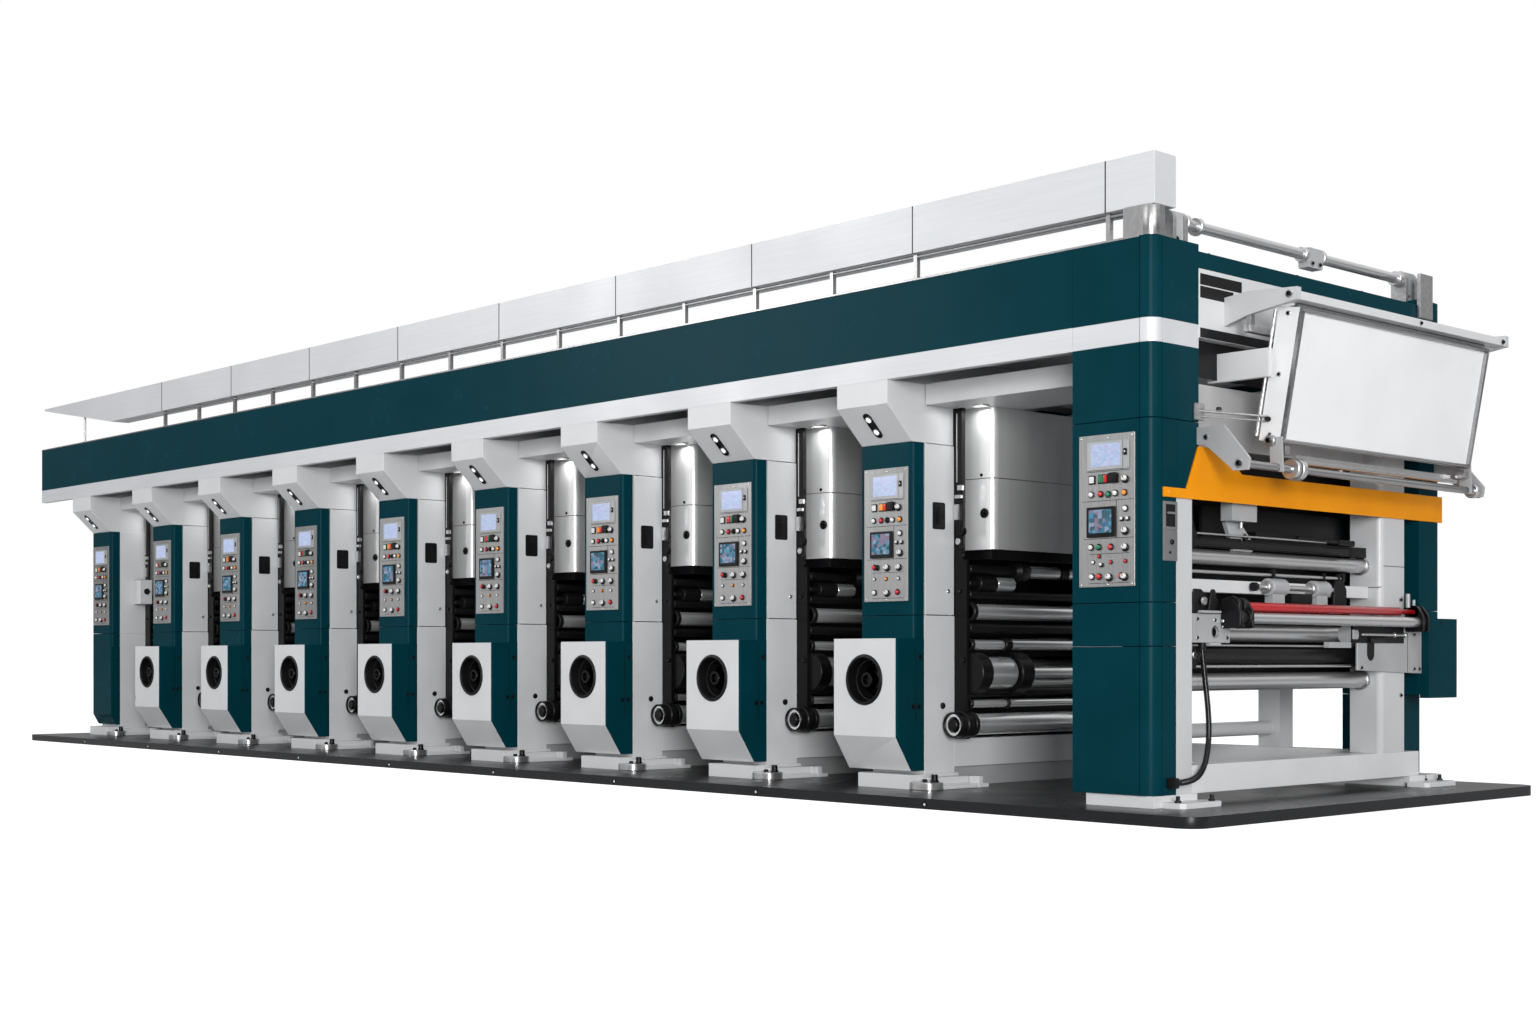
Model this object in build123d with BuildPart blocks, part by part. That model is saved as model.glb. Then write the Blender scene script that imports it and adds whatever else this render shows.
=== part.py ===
"""Rotogravure printing press: nine print units in line, with an inspection end frame.

Millimetres, +Z up. The operator side faces -Y, and the end frame is at +X.
The origin is the centre of the base plate's underside.
"""
import os
from math import cos, pi, radians, sin, tan

from build123d import *

os.makedirs("parts", exist_ok=True)

# Layout along the press
unit_count = 9
unit_pitch = 1400.0
pillar_width = 431.0
end_bay = 1372.0
end_column_width = 526.0
far_overhang = 790.0
end_x = 6730.0

# Depth planes, measured from the fascia at the operator side
half_depth = 1514.0
pillar_setback = 217.0
cladding_depth = 97.0
pillar_depth = 369.0

# Heights
plate_thickness = 60.0
foot_height = 86.0
lower_post_height = 958.0
upper_post_height = 1043.0
corbel_height = 352.0
corbel_nose = 143.0
band_height = 128.0
fascia_height = 430.0
parapet_gap = 160.0
column_low = 124.0
parapet_height = 275.0

# Base plate
plate_near_overhang = 470.0
plate_far_setback = 390.0
plate_side_overhang = 303.0
plate_corner = 120.0

# Panels and pieces of a unit
fascia_thickness = 60.0
corbel_width = 422.0
cladding_corner = 30.0
guard_depth = 135.0
guard_left = 108.0
guard_height = 796.0
guard_rise = 22.0
guard_slope = 206.0
cheek_thickness = 20.0
recess_radius = 155.0
recess_depth = 120.0
panel_margin = 32.0
panel_low = 1189.0
panel_height = 810.0
panel_thickness = 12.0
door_thickness = 20.0
door_gap = 5.0
wall_thickness = 20.0

# End frame rollers
end_roller_setback = 129.0
end_bright_sizes = ((1400.0, 42.0), (985.0, 48.0), (715.0, 48.0))
chrome_radius = 31.0
red_radius = 25.0
red_journal = 14.0
red_roller_z = 1125.0
bracket_thickness = 15.0

# Print cylinder and rollers of a unit
print_x = 150.0
print_z = 715.0
print_radius = 125.0
journal_radius = 45.0
running_gap = 0.05
seat_gap = 0.3
impression_radius = 70.0
roller_x = 516.0

# Dryer hood
hood_left = 238.0
hood_width = 906.0
hood_low = 1507.0
hood_corner = 60.0
hood_setback = 450.0

# Heights worked out from the values above
post_low = plate_thickness + foot_height
post_mid = post_low + lower_post_height
post_top = post_mid + upper_post_height
band_low = post_top + corbel_height
fascia_low = band_low + band_height
fascia_top = fascia_low + fascia_height
parapet_low = fascia_top + parapet_gap
parapet_top = parapet_low + parapet_height
soffit_low = band_low - 126.0

# Places worked out from the values above
front_y = -half_depth
pillar_front = front_y + pillar_setback
seam_y = pillar_front + cladding_depth
pillar_back = pillar_front + pillar_depth
end_column_x = end_x - end_column_width
last_pillar_x = end_column_x - end_bay - pillar_width
pillar_x = [last_pillar_x - (unit_count - 1 - n) * unit_pitch for n in range(unit_count)]
far_x = pillar_x[0] - far_overhang
plate_length = end_x + plate_near_overhang - far_x - plate_far_setback
print_units = range(2, unit_count + 1)


def block(x, y, z):
    """Add a box between the low and high values given for each axis."""
    with Locations(((x[0] + x[1]) / 2, (y[0] + y[1]) / 2, (z[0] + z[1]) / 2)):
        Box(x[1] - x[0], y[1] - y[0], z[1] - z[0])


def both_sides(x, y, z):
    """Add a box and its mirror image at the drive side."""
    block(x, y, z)
    block(x, (-y[1], -y[0]), z)


def round_bar(x, z, radius, y, mode=Mode.ADD):
    """Add or cut a round bar along Y."""
    with Locations(Location((x, (y[0] + y[1]) / 2, z), (90, 0, 0))):
        Cylinder(radius, y[1] - y[0], mode=mode)


def upright(x, y, radius, z):
    """Add a round bar along Z."""
    with Locations((x, y, (z[0] + z[1]) / 2)):
        Cylinder(radius, z[1] - z[0])


def side_profile(points, x):
    """Add a plate whose outline is drawn in Y and Z, between two X values."""
    with BuildSketch(Plane.YZ.offset(x[0])) as outline:
        with BuildLine():
            Polyline(*points, close=True)
        make_face()
    extrude(outline.sketch, amount=x[1] - x[0])


def front_profile(points, y):
    """Add a plate whose outline is drawn in X and Z, between two Y values."""
    with BuildSketch(Plane.XZ.offset(-y[0])) as outline:
        with BuildLine():
            Polyline(*points, close=True)
        make_face()
    extrude(outline.sketch, amount=-(y[1] - y[0]))


def rounded_column(x, y, z, radius, corners):
    """Add a box with the named vertical corners rounded."""
    with BuildSketch(Plane.XY.offset(z[0])) as outline:
        with Locations(((x[0] + x[1]) / 2, (y[0] + y[1]) / 2)):
            Rectangle(x[1] - x[0], y[1] - y[0])
        ordered = outline.vertices().group_by(Axis.Y)
        row = {"front": ordered[0].sort_by(Axis.X), "rear": ordered[-1].sort_by(Axis.X)}
        chosen = [row[side][-1 if end == "near" else 0] for side, end in corners]
        fillet(chosen, radius)
    extrude(outline.sketch, amount=z[1] - z[0])


def save(piece, name):
    """Label a finished piece and write its STEP file."""
    piece.part.label = name
    export_step(piece.part, f"parts/{name}.step")


# End frame: posts, and the blocks that carry its outer rollers
column_step = 1740.0
column_inner = front_y + 412.0
column_lower_inner = front_y + 208.0
post_depth = 141.0
end_post_front = (column_lower_inner, column_lower_inner + post_depth)
end_post_rear = (half_depth - 739.0, half_depth - 472.0)
end_roller_x = end_x - end_roller_setback
end_roller_y = (end_post_front[1], end_post_rear[0])
bracket_x = (end_x, end_x + bracket_thickness)
red_roller_x = end_x + 71.0
chrome_roller = (end_x + 91.0, red_roller_z - 62.0)
front_block_y = (end_post_front[1] + 241.0, end_post_front[1] + 378.0)
rear_block_y = (end_post_rear[1] - 22.0, end_post_rear[1] + 58.0)

near_front = [("front", "near")]
near_rear = [("rear", "near")]

# Base plate under the whole press
with BuildPart() as base_plate:
    with BuildSketch():
        RectangleRounded(plate_length, 2 * (half_depth + plate_side_overhang), plate_corner)
    extrude(amount=plate_thickness)
save(base_plate, "base_plate")

# Feet: a block under each pillar with a bolting flange beside it
foot_front = pillar_front - 34.0
foot_back = pillar_back + 40.0
flange_height = 30.0
flange_reach = 140.0
flange_cut = 25.0


def foot(x, y, top, sign):
    """One foot; sign is 1 at the operator side and -1 at the drive side."""
    depth = sorted((sign * y[0], sign * y[1]))
    block(x, depth, (plate_thickness, top))
    near, far = sign * (y[0] + 60.0), sign * (y[1] + 40.0)
    cut = sign * flange_cut
    reach = x[1] + flange_reach
    corners = [
        (x[1], near),
        (reach - flange_cut, near),
        (reach, near + cut),
        (reach, far - cut),
        (reach - flange_cut, far),
        (x[1], far),
    ]
    with BuildSketch(Plane.XY.offset(plate_thickness)) as outline:
        with BuildLine():
            Polyline(*corners, close=True)
        make_face()
    extrude(outline.sketch, amount=flange_height)


end_foot_x = (end_column_x + 80.0, end_x)
end_foot_y = (front_y + 15.0, front_y + 400.0)
with BuildPart() as feet:
    for side in (1, -1):
        for x in pillar_x:
            foot((x, x + pillar_width), (foot_front, foot_back), post_low, side)
        foot(end_foot_x, end_foot_y, column_low, side)
save(feet, "feet")

# Lower posts of the pillars
lower_z = (post_low, post_mid)
with BuildPart() as lower_posts:
    for x in pillar_x:
        for depth in ((seam_y, pillar_back), (-pillar_back, -pillar_front)):
            block((x, x + pillar_width), depth, lower_z)
save(lower_posts, "lower_posts")

# Upper posts: closed at the drive side and on the first unit, a left wall where a door follows
upper_z = (post_mid, post_top)
with BuildPart() as upper_posts:
    for n, x in enumerate(pillar_x, start=1):
        block((x, x + pillar_width), (-pillar_back, -pillar_front), upper_z)
        width = wall_thickness if n in print_units else pillar_width
        block((x, x + width), (seam_y, pillar_back), upper_z)
save(upper_posts, "upper_posts")

# Back walls of the cabinets in the other upper posts
with BuildPart() as cabinet_back_walls:
    for n in print_units:
        x = pillar_x[n - 1]
        inside = (x + wall_thickness, x + pillar_width - door_thickness - door_gap)
        block(inside, (pillar_back - wall_thickness, pillar_back), upper_z)
save(cabinet_back_walls, "cabinet_back_walls")

# Teal claddings on the operator side, rounded at the near corner
guard_low = post_low + guard_rise
guard_top = guard_low + guard_height
with BuildPart() as pillar_claddings:
    for x in pillar_x:
        span = (x, x + pillar_width)
        rounded_column(span, (pillar_front, seam_y), (guard_top, post_top), cladding_corner, near_front)
save(pillar_claddings, "pillar_claddings")

# Guard boxes in front of the lower posts, with a round recess for the chuck
guard_front = pillar_front - guard_depth
guard_outline = [
    (guard_front, guard_low + guard_slope),
    (pillar_front, guard_low),
    (seam_y, guard_low),
    (seam_y, guard_top),
    (guard_front, guard_top),
]
with BuildPart() as guard_boxes:
    for n in print_units:
        x = pillar_x[n - 1]
        side_profile(guard_outline, (x - guard_left, x + pillar_width - cheek_thickness))
        hole = (guard_front - 1, guard_front + recess_depth)
        round_bar(x + print_x, print_z, recess_radius, hole, Mode.SUBTRACT)
save(guard_boxes, "guard_boxes")

# Teal cheeks on the guard boxes, and the chamfered foot of the first pillar's cladding
first_cladding = [
    (pillar_front, guard_low + guard_slope / 2),
    (seam_y - 40.0, guard_low),
    (seam_y, guard_low),
    (seam_y, guard_top),
    (pillar_front, guard_top),
]
with BuildPart() as guard_cheeks:
    for n in print_units:
        x = pillar_x[n - 1]
        side_profile(guard_outline, (x + pillar_width - cheek_thickness, x + pillar_width))
    side_profile(first_cladding, (pillar_x[0], pillar_x[0] + pillar_width))
save(guard_cheeks, "guard_cheeks")

# Print cylinders with their journals, and the chuck cone of each in its recess
face_low = pillar_back + 122.0
face_high = -pillar_back - 122.0
journal_end = -pillar_back - seat_gap
cone_back = guard_front + recess_depth - seat_gap
cone_front = guard_front + 20.0
cone_tip_radius = 30.0
cone_radius = 75.0
for n in print_units:
    x = pillar_x[n - 1] + print_x
    with BuildPart() as print_cylinder:
        with BuildSketch(Plane(origin=(x, 0, print_z), x_dir=(0, 1, 0), z_dir=(1, 0, 0))):
            with BuildLine():
                Polyline(
                    (-journal_end, 0),
                    (-journal_end, journal_radius),
                    (face_low, journal_radius),
                    (face_low, print_radius),
                    (face_high, print_radius),
                    (face_high, journal_radius),
                    (journal_end, journal_radius),
                    (journal_end, 0),
                    close=True,
                )
            make_face()
            with BuildLine():
                Polyline(
                    (cone_front, 0),
                    (cone_front, cone_tip_radius),
                    (cone_back, cone_radius),
                    (cone_back, 0),
                    close=True,
                )
            make_face()
        revolve(axis=Axis((x, 0, print_z), (0, 1, 0)))
    save(print_cylinder, f"print_cylinder_{n}")

# Pillar doors: a leaf with pivots and a pocket for its flush handle
pivot_inset = 10.0
pivot_half = 6.0
door_hinge_gap = 9.5
door_y = (seam_y + door_hinge_gap, pillar_back - door_gap)
door_z = (post_mid + door_gap, post_top - door_gap)
pivot_z = (post_mid + seat_gap, post_top - seat_gap)
handle_y = (seam_y + 76.0, seam_y + 184.0)
handle_z = (1632.0, 1788.0)
handle_depth = 10.0
pocket_y = (handle_y[0] - seat_gap, handle_y[1] + seat_gap)
pocket_z = (handle_z[0] - seat_gap, handle_z[1] + seat_gap)
for n in print_units:
    outside = pillar_x[n - 1] + pillar_width
    with BuildPart() as pillar_door:
        block((outside - door_thickness, outside), door_y, door_z)
        pivot_x = (outside - pivot_inset - pivot_half, outside - pivot_inset + pivot_half)
        pivot_y = (door_y[0] + pivot_inset - pivot_half, door_y[0] + pivot_inset + pivot_half)
        block(pivot_x, pivot_y, pivot_z)
        with Locations((outside - handle_depth / 2, sum(pocket_y) / 2, sum(pocket_z) / 2)):
            Box(handle_depth, pocket_y[1] - pocket_y[0], pocket_z[1] - pocket_z[0], mode=Mode.SUBTRACT)
        block((outside - handle_depth + seat_gap, outside), handle_y, handle_z)
    save(pillar_door, f"pillar_door_{n}")

# Corbels that carry the band, sloped under their noses
corbel_outline = [
    (front_y, band_low - corbel_nose),
    (pillar_front, post_top),
    (pillar_back, post_top),
    (pillar_back, band_low),
    (front_y, band_low),
]
with BuildPart() as corbels:
    for x in pillar_x:
        for sign in (1, -1):
            side_profile([(sign * y, z) for y, z in corbel_outline], (x, x + corbel_width))
save(corbels, "corbels")

# Control panels on the pillars and the end column, with two screens each
panel_width = pillar_width - 2 * panel_margin
end_panel_x = end_column_x + 55.0
end_panel_rise = 34.0
panels = [(x + panel_margin, pillar_front, panel_low) for x in pillar_x]
panels += [(end_panel_x, front_y, panel_low + end_panel_rise)]
screen_thickness = 14.0
upper_screen = (60.0, 290.0, 621.0, 772.0)
lower_screen = (58.0, 242.0, 264.0, 426.0)
with BuildPart() as control_panels:
    for x, y, z in panels:
        block((x, x + panel_width), (y - panel_thickness, y), (z, z + panel_height))
save(control_panels, "control_panels")

with BuildPart() as screens:
    for x, y, z in panels:
        depth = (y - panel_thickness - screen_thickness, y - panel_thickness)
        for left, right, low, high in (upper_screen, lower_screen):
            block((x + left, x + right), depth, (z + low, z + high))
save(screens, "screens")

# Band and fascia at both sides, and the roof edge above
inner_y = front_y + fascia_thickness
with BuildPart() as silver_bands:
    both_sides((far_x, end_column_x), (front_y, inner_y), (band_low, fascia_low))
save(silver_bands, "silver_bands")
with BuildPart() as fascias:
    both_sides((far_x, end_column_x), (front_y, inner_y), (fascia_low, fascia_top))
save(fascias, "fascias")

# End columns: stacked blocks with a rounded near corner
column_corner = 85.0
column_x = (end_column_x, end_x)
rear_step = 620.0
rear_setback = 155.0
rear_column_inner = half_depth - 294.0
lower_front = (front_y, column_lower_inner)
upper_front = (front_y, column_inner)
rear_column = (rear_column_inner, half_depth)
with BuildPart() as end_columns:
    rounded_column(column_x, lower_front, (column_low, column_step), column_corner, near_front)
    rounded_column(column_x, upper_front, (column_step, band_low), column_corner, near_front)
    rounded_column(column_x, rear_column, (rear_step, band_low), column_corner, near_rear)
    block((end_column_x, end_x - rear_setback), rear_column, (column_low, rear_step))
save(end_columns, "end_columns")

with BuildPart() as band_corners:
    rounded_column(column_x, upper_front, (band_low, fascia_low), column_corner, near_front)
    rounded_column(column_x, rear_column, (band_low, fascia_low), column_corner, near_rear)
save(band_corners, "band_corners")

with BuildPart() as fascia_corners:
    rounded_column(column_x, upper_front, (fascia_low, fascia_top), column_corner, near_front)
    rounded_column(column_x, rear_column, (fascia_low, fascia_top), column_corner, near_rear)
save(fascia_corners, "fascia_corners")

# Roof frame: a beam from side to side over each pillar, and soffits between the corbels
roof_beam_height = 190.0
roof_beam_width = 200.0
with BuildPart() as roof_cross_beams:
    for x in pillar_x:
        middle = x + pillar_width / 2
        span = (middle - roof_beam_width / 2, middle + roof_beam_width / 2)
        block(span, (inner_y, -inner_y), (band_low, band_low + roof_beam_height))
save(roof_cross_beams, "roof_cross_beams")

soffit_y = (pillar_front + 108.0, pillar_front + 720.0)
bay_ends = pillar_x[1:] + [end_column_x]
with BuildPart() as bay_soffits:
    for x, stop in zip(pillar_x, bay_ends):
        both_sides((x + pillar_width, stop), soffit_y, (soffit_low, band_low))
save(bay_soffits, "bay_soffits")

roof_sheet = 12.0
roof_top = band_low + roof_beam_height
with BuildPart() as roof_panel:
    block((far_x + 20.0, end_column_x), (inner_y, -inner_y), (roof_top, roof_top + roof_sheet))
save(roof_panel, "roof_panel")

# Parapet: a long box beam in sections, on posts, tapered to a point at the far end
parapet_setback = 17.0
parapet_depth = 189.0
parapet_y = (front_y + parapet_setback, front_y + parapet_setback + parapet_depth)
parapet_joint = 3.0
parapet_seams = [end_x - 320.0 - n * unit_pitch for n in range(9)]
tip_inset = 30.0
taper_length = 1630.0
tip_x = far_x + tip_inset
taper_start = tip_x + taper_length
tip_height = 20.0
with BuildPart() as parapet:
    stops = [end_x] + parapet_seams
    for right, left in zip(stops, parapet_seams):
        block((left + parapet_joint, right), parapet_y, (parapet_low, parapet_top))
    last = parapet_seams[-1]
    tip = [
        (last, parapet_low),
        (last, parapet_top),
        (tip_x, parapet_top),
        (tip_x, parapet_top - tip_height),
        (taper_start, parapet_low),
    ]
    front_profile(tip, parapet_y)
save(parapet, "parapet")

post_half = 14.0
post_y = parapet_y[0] + 40.0
mid_posts = [seam - unit_pitch / 2 for seam in parapet_seams[1:-1]]
corner_post_width = 190.0
corner_post_x = (end_x - corner_post_width, end_x)
with BuildPart() as parapet_posts:
    depth = (post_y - post_half, post_y + post_half)
    for x in parapet_seams + mid_posts:
        block((x - post_half, x + post_half), depth, (fascia_top, parapet_low))
    corner_depth = (front_y, front_y + 109.0)
    rounded_column(corner_post_x, corner_depth, (fascia_top, parapet_low), 60.0, near_front)
save(parapet_posts, "parapet_posts")

# Dryer hoods of the units, and the drying cover inside the end frame
hood_y = (pillar_front + hood_setback, -pillar_front - hood_setback)
hood_corners = near_front + near_rear + [("front", "far"), ("rear", "far")]
beam_under = 2735.0
end_beam_low = beam_under - 175.0
end_cover_inset = 80.0
end_cover_width = 400.0
end_cover_height = 340.0
end_cover_x = (end_x - end_cover_inset - end_cover_width, end_x - end_cover_inset)
end_cover_z = (end_beam_low - 230.0 - end_cover_height, end_beam_low - 230.0)
with BuildPart() as dryer_hoods:
    for x in pillar_x:
        span = (x - hood_left, x - hood_left + hood_width)
        rounded_column(span, hood_y, (hood_low, soffit_low), hood_corner, hood_corners)
    block(end_cover_x, (column_inner, end_post_rear[0]), end_cover_z)
save(dryer_hoods, "dryer_hoods")

# Dark covers: a skirt under each hood and an ink fountain under each print cylinder
skirt_inset = 30.0
skirt_height = 60.0
skirt_low = hood_low - skirt_height
fountain_z = (470.0, print_z - print_radius - 25.0)
unit_y = (pillar_back, -pillar_back)
end_bar_half = 30.0
end_bar_low = 1450.0
with BuildPart() as unit_covers:
    for n, x in enumerate(pillar_x, start=1):
        span = (x - hood_left + skirt_inset, x - hood_left + hood_width - skirt_inset)
        depth = (hood_y[0] + skirt_inset, hood_y[1] - skirt_inset)
        block(span, depth, (skirt_low, hood_low))
        if n in print_units:
            block((x - 20.0, x + 330.0), unit_y, fountain_z)
    bar = (end_roller_x - end_bar_half, end_roller_x + end_bar_half)
    block(bar, end_roller_y, (end_bar_low, end_bar_low + 2 * end_bar_half))
save(unit_covers, "unit_covers")

# Side channels behind the pillars, which carry the rollers, and guard sheets beside the units
channel_width = 100.0
channel_narrow = 69.0
channel_lap = 60.0
channel_y = (pillar_back, pillar_back + 24.0)
beam_z = (181.0, 353.0)
guard_sheet = 12.0
guard_lap = 200.0
guard_setback = 60.0
end_guard_x = end_x - 350.0
end_guard_low = 660.0
with BuildPart() as unit_side_plates:
    for x in pillar_x:
        inner = x + pillar_width - channel_lap
        outline = [
            (inner, beam_z[1]),
            (x + pillar_width + channel_width, beam_z[1]),
            (x + pillar_width + channel_width, skirt_low),
            (x + pillar_width + channel_narrow, skirt_low),
            (x + pillar_width + channel_narrow, soffit_low),
            (inner, soffit_low),
        ]
        front_profile(outline, channel_y)
        front_profile(outline, (-channel_y[1], -channel_y[0]))
        left = x - guard_setback
        depth = (unit_y[0] - guard_lap, unit_y[1] + guard_lap)
        block((left, left + guard_sheet), depth, (plate_thickness, skirt_low))
    span = (end_guard_x, end_guard_x + guard_sheet)
    block(span, (column_lower_inner, column_inner), (end_guard_low, column_step))
    block(span, (column_inner, rear_column_inner), (end_guard_low, end_cover_z[0]))
save(unit_side_plates, "unit_side_plates")

# Rollers of each unit: height and radius of each, in two finishes
roller_y = (channel_y[1], -channel_y[1])
feed_z = 441.0
bright_sizes = ((feed_z, 65.0), (1130.0, 49.0))
impression_z = print_z + print_radius + impression_radius + 5.0
end_dark_z = 860.0
end_dark_radius = 45.0
with BuildPart() as bright_rollers:
    for x in pillar_x:
        for z, radius in bright_sizes:
            round_bar(x + roller_x, z, radius, roller_y)
    for z, radius in end_bright_sizes:
        round_bar(end_roller_x, z, radius, end_roller_y)
    round_bar(chrome_roller[0], chrome_roller[1], chrome_radius, (front_block_y[1], rear_block_y[0]))
save(bright_rollers, "bright_rollers")

with BuildPart() as dark_rollers:
    for n in print_units:
        round_bar(pillar_x[n - 1] + print_x, impression_z, impression_radius, unit_y)
    round_bar(end_roller_x, end_dark_z, end_dark_radius, end_roller_y)
save(dark_rollers, "dark_rollers")

# Round bearing housings that stand out beside the posts
housing_radius = 84.0
housing_y = (pillar_front + 240.0, pillar_back)
block_z = (red_roller_z - 120.0, red_roller_z + 40.0)
with BuildPart() as bearing_housings:
    for x in pillar_x:
        centre = x + pillar_width + housing_radius + 1.0
        round_bar(centre, feed_z, housing_radius, housing_y)
    for depth in (front_block_y, rear_block_y):
        block((bracket_x[1], bracket_x[1] + 125.0), depth, block_z)
        hole = (depth[0] - 1, depth[1] + 1)
        round_bar(red_roller_x, red_roller_z, red_journal + running_gap, hole, Mode.SUBTRACT)
save(bearing_housings, "bearing_housings")

# Red roller outside the end frame, which turns in the two blocks
red_roller_y = (front_block_y[1] + 12.0, rear_block_y[0] - 165.0)
with BuildPart() as red_roller:
    round_bar(red_roller_x, red_roller_z, red_radius, red_roller_y)
    journals = (front_block_y[0] + 10.0, rear_block_y[1] - 10.0)
    round_bar(red_roller_x, red_roller_z, red_journal, journals)
save(red_roller, "red_roller")

# End frame: posts, the far upright at the drive side, and the outrigger arms
side_beam_z = (column_low, 275.0)
post_width = 149.0
rear_post_x = (end_x - 209.0, end_x)
front_post_x = (end_x - post_width, end_x)
far_upright_x = (end_x - 1000.0, end_x - 840.0)
far_upright_y = (half_depth - 514.0, half_depth - 364.0)
arm_setback = 647.0
arm_thickness = 40.0
arm_y = (front_y + arm_setback, front_y + arm_setback + arm_thickness)
rear_arm_y = (half_depth - 2 * arm_thickness, half_depth - arm_thickness)
arm_reach = 450.0
arm_knee = 153.0
arm_outline = [
    (end_x, beam_under - 90.0),
    (end_x + arm_knee, beam_under - 45.0),
    (end_x + arm_reach, beam_under),
    (end_x + arm_reach, beam_under + 65.0),
    (end_x + arm_knee, beam_under + 80.0),
    (end_x, beam_under + 65.0),
]
with BuildPart() as end_frame:
    block(front_post_x, end_post_front, (column_low, column_step))
    rounded_column(rear_post_x, end_post_rear, (side_beam_z[1], end_beam_low), 40.0, near_front)
    block(far_upright_x, far_upright_y, (side_beam_z[1], soffit_low))
    front_profile(arm_outline, arm_y)
    front_profile(arm_outline, rear_arm_y)
save(end_frame, "end_frame")

cross_half = 40.0
cross_low = 1205.0
cross_height = 70.0
# Beams near the floor: one behind each pillar, the end frame's side beam and its drive side beam
with BuildPart() as floor_beams:
    for x in pillar_x:
        block((x + 290.0, x + pillar_width), unit_y, beam_z)
    block((end_x - post_width, end_x), (end_post_front[1], rear_column_inner), side_beam_z)
    cross = (end_roller_x - cross_half, end_roller_x + cross_half)
    block(cross, end_roller_y, (cross_low, cross_low + cross_height))
save(floor_beams, "floor_beams")

# Orange hood across the end, with its front end cut back on a slope
hood_sheet = 14.0
lip_z = (1690.0, 1742.0)
slope_y = (front_y + 285.0, front_y + 395.0)
hood_top = 1975.0
hood_rear_top = 1850.0
end_outline = [
    (front_y + 85.0, lip_z[0]),
    (half_depth - 31.0, lip_z[0]),
    (half_depth - 31.0, hood_rear_top),
    (front_y + 800.0, hood_rear_top),
    (front_y + 640.0, hood_top),
    (slope_y[1], hood_top),
    (slope_y[0], lip_z[1]),
    (front_y + 85.0, lip_z[1]),
]
with BuildPart() as end_hood:
    side_profile(end_outline, (end_x, end_x + hood_sheet))
save(end_hood, "end_hood")

# End beams: a white one at the top, with a teal strip above it, and one near the floor at the drive side
end_beam_y = (column_inner, rear_column_inner)
end_beam_top = beam_under + 195.0
end_fascia_height = 90.0
with BuildPart() as end_beams:
    block((end_x - post_width, end_x), end_beam_y, (end_beam_low, end_beam_top))
    block((last_pillar_x + pillar_width, end_x - post_width), far_upright_y, side_beam_z)
save(end_beams, "end_beams")

with BuildPart() as end_fascia:
    block((end_x - fascia_thickness, end_x), end_beam_y, (end_beam_top, end_beam_top + end_fascia_height))
save(end_fascia, "end_fascia")

# Beam carried by the outrigger arms
outer_beam_x = (end_x + arm_reach - 90.0, end_x + arm_reach)
with BuildPart() as outer_beam:
    block(outer_beam_x, (arm_y[1], rear_arm_y[0]), (beam_under, beam_under + 45.0))
save(outer_beam, "outer_beam")

# Inspection board hung under the outer beam by a tube frame, leaning in towards the press
tube_radius = 11.0
board_tilt = 10.0
board_height = 720.0
board_depth = 130.0
board_y = (arm_y[1] + 60.0, half_depth - 230.0)
board_length = board_y[1] - board_y[0]
hinge_inset = 20.0
hinge_lift = tube_radius + seat_gap
board_top = beam_under - 2 * hinge_lift - hinge_inset * tan(radians(board_tilt))
board_corner = (outer_beam_x[1] - 45.0, board_top)
board_centre = (board_corner[0], sum(board_y) / 2, board_top)
lean = Plane(origin=board_centre, x_dir=(1, 0, 0), z_dir=(0, -1, 0))
lean = lean.rotated((0, board_tilt, 0))
with BuildPart() as inspection_board:
    with BuildSketch(lean) as outline:
        with Locations((-board_depth / 2, -board_height / 2)):
            Rectangle(board_depth, board_height)
    extrude(outline.sketch, amount=board_length / 2, both=True)
save(inspection_board, "inspection_board")

# Rods: the board's hinge bar and edge tubes, the rod on the roof and the rod below the board
tube_offset = tube_radius + seat_gap
hinge_x = board_corner[0] - hinge_inset
roof_rod = (end_x - 130.0, 3195.0)
roof_rod_radius = 23.0
roof_rod_y = (column_inner, rear_column_inner)
board_foot_x = board_corner[0] - board_height * sin(radians(board_tilt))
board_foot_z = board_top - board_height * cos(radians(board_tilt))
lower_rod = (board_foot_x - 9.0, board_foot_z - 134.0)
lower_rod_radius = 22.0
lower_rod_y = (column_inner, half_depth - 111.0)
with BuildPart() as end_rods:
    round_bar(hinge_x, beam_under - hinge_lift, tube_radius, board_y)
    round_bar(roof_rod[0], roof_rod[1], roof_rod_radius, roof_rod_y)
    round_bar(lower_rod[0], lower_rod[1], lower_rod_radius, lower_rod_y)
    for drop in (tube_radius, board_height - tube_radius):
        centre = lean.from_local_coords((tube_offset, -drop, 0))
        round_bar(centre.X, centre.Z, tube_radius, board_y)
    for offset in (tube_radius, board_length - tube_radius):
        side = offset - board_length / 2
        with BuildSketch(lean.offset(-side)) as face:
            with Locations((tube_offset, -board_height / 2)):
                Rectangle(2 * tube_radius, board_height - 4 * tube_radius - 2 * seat_gap)
        extrude(face.sketch, amount=tube_radius, both=True)
save(end_rods, "end_rods")

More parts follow.
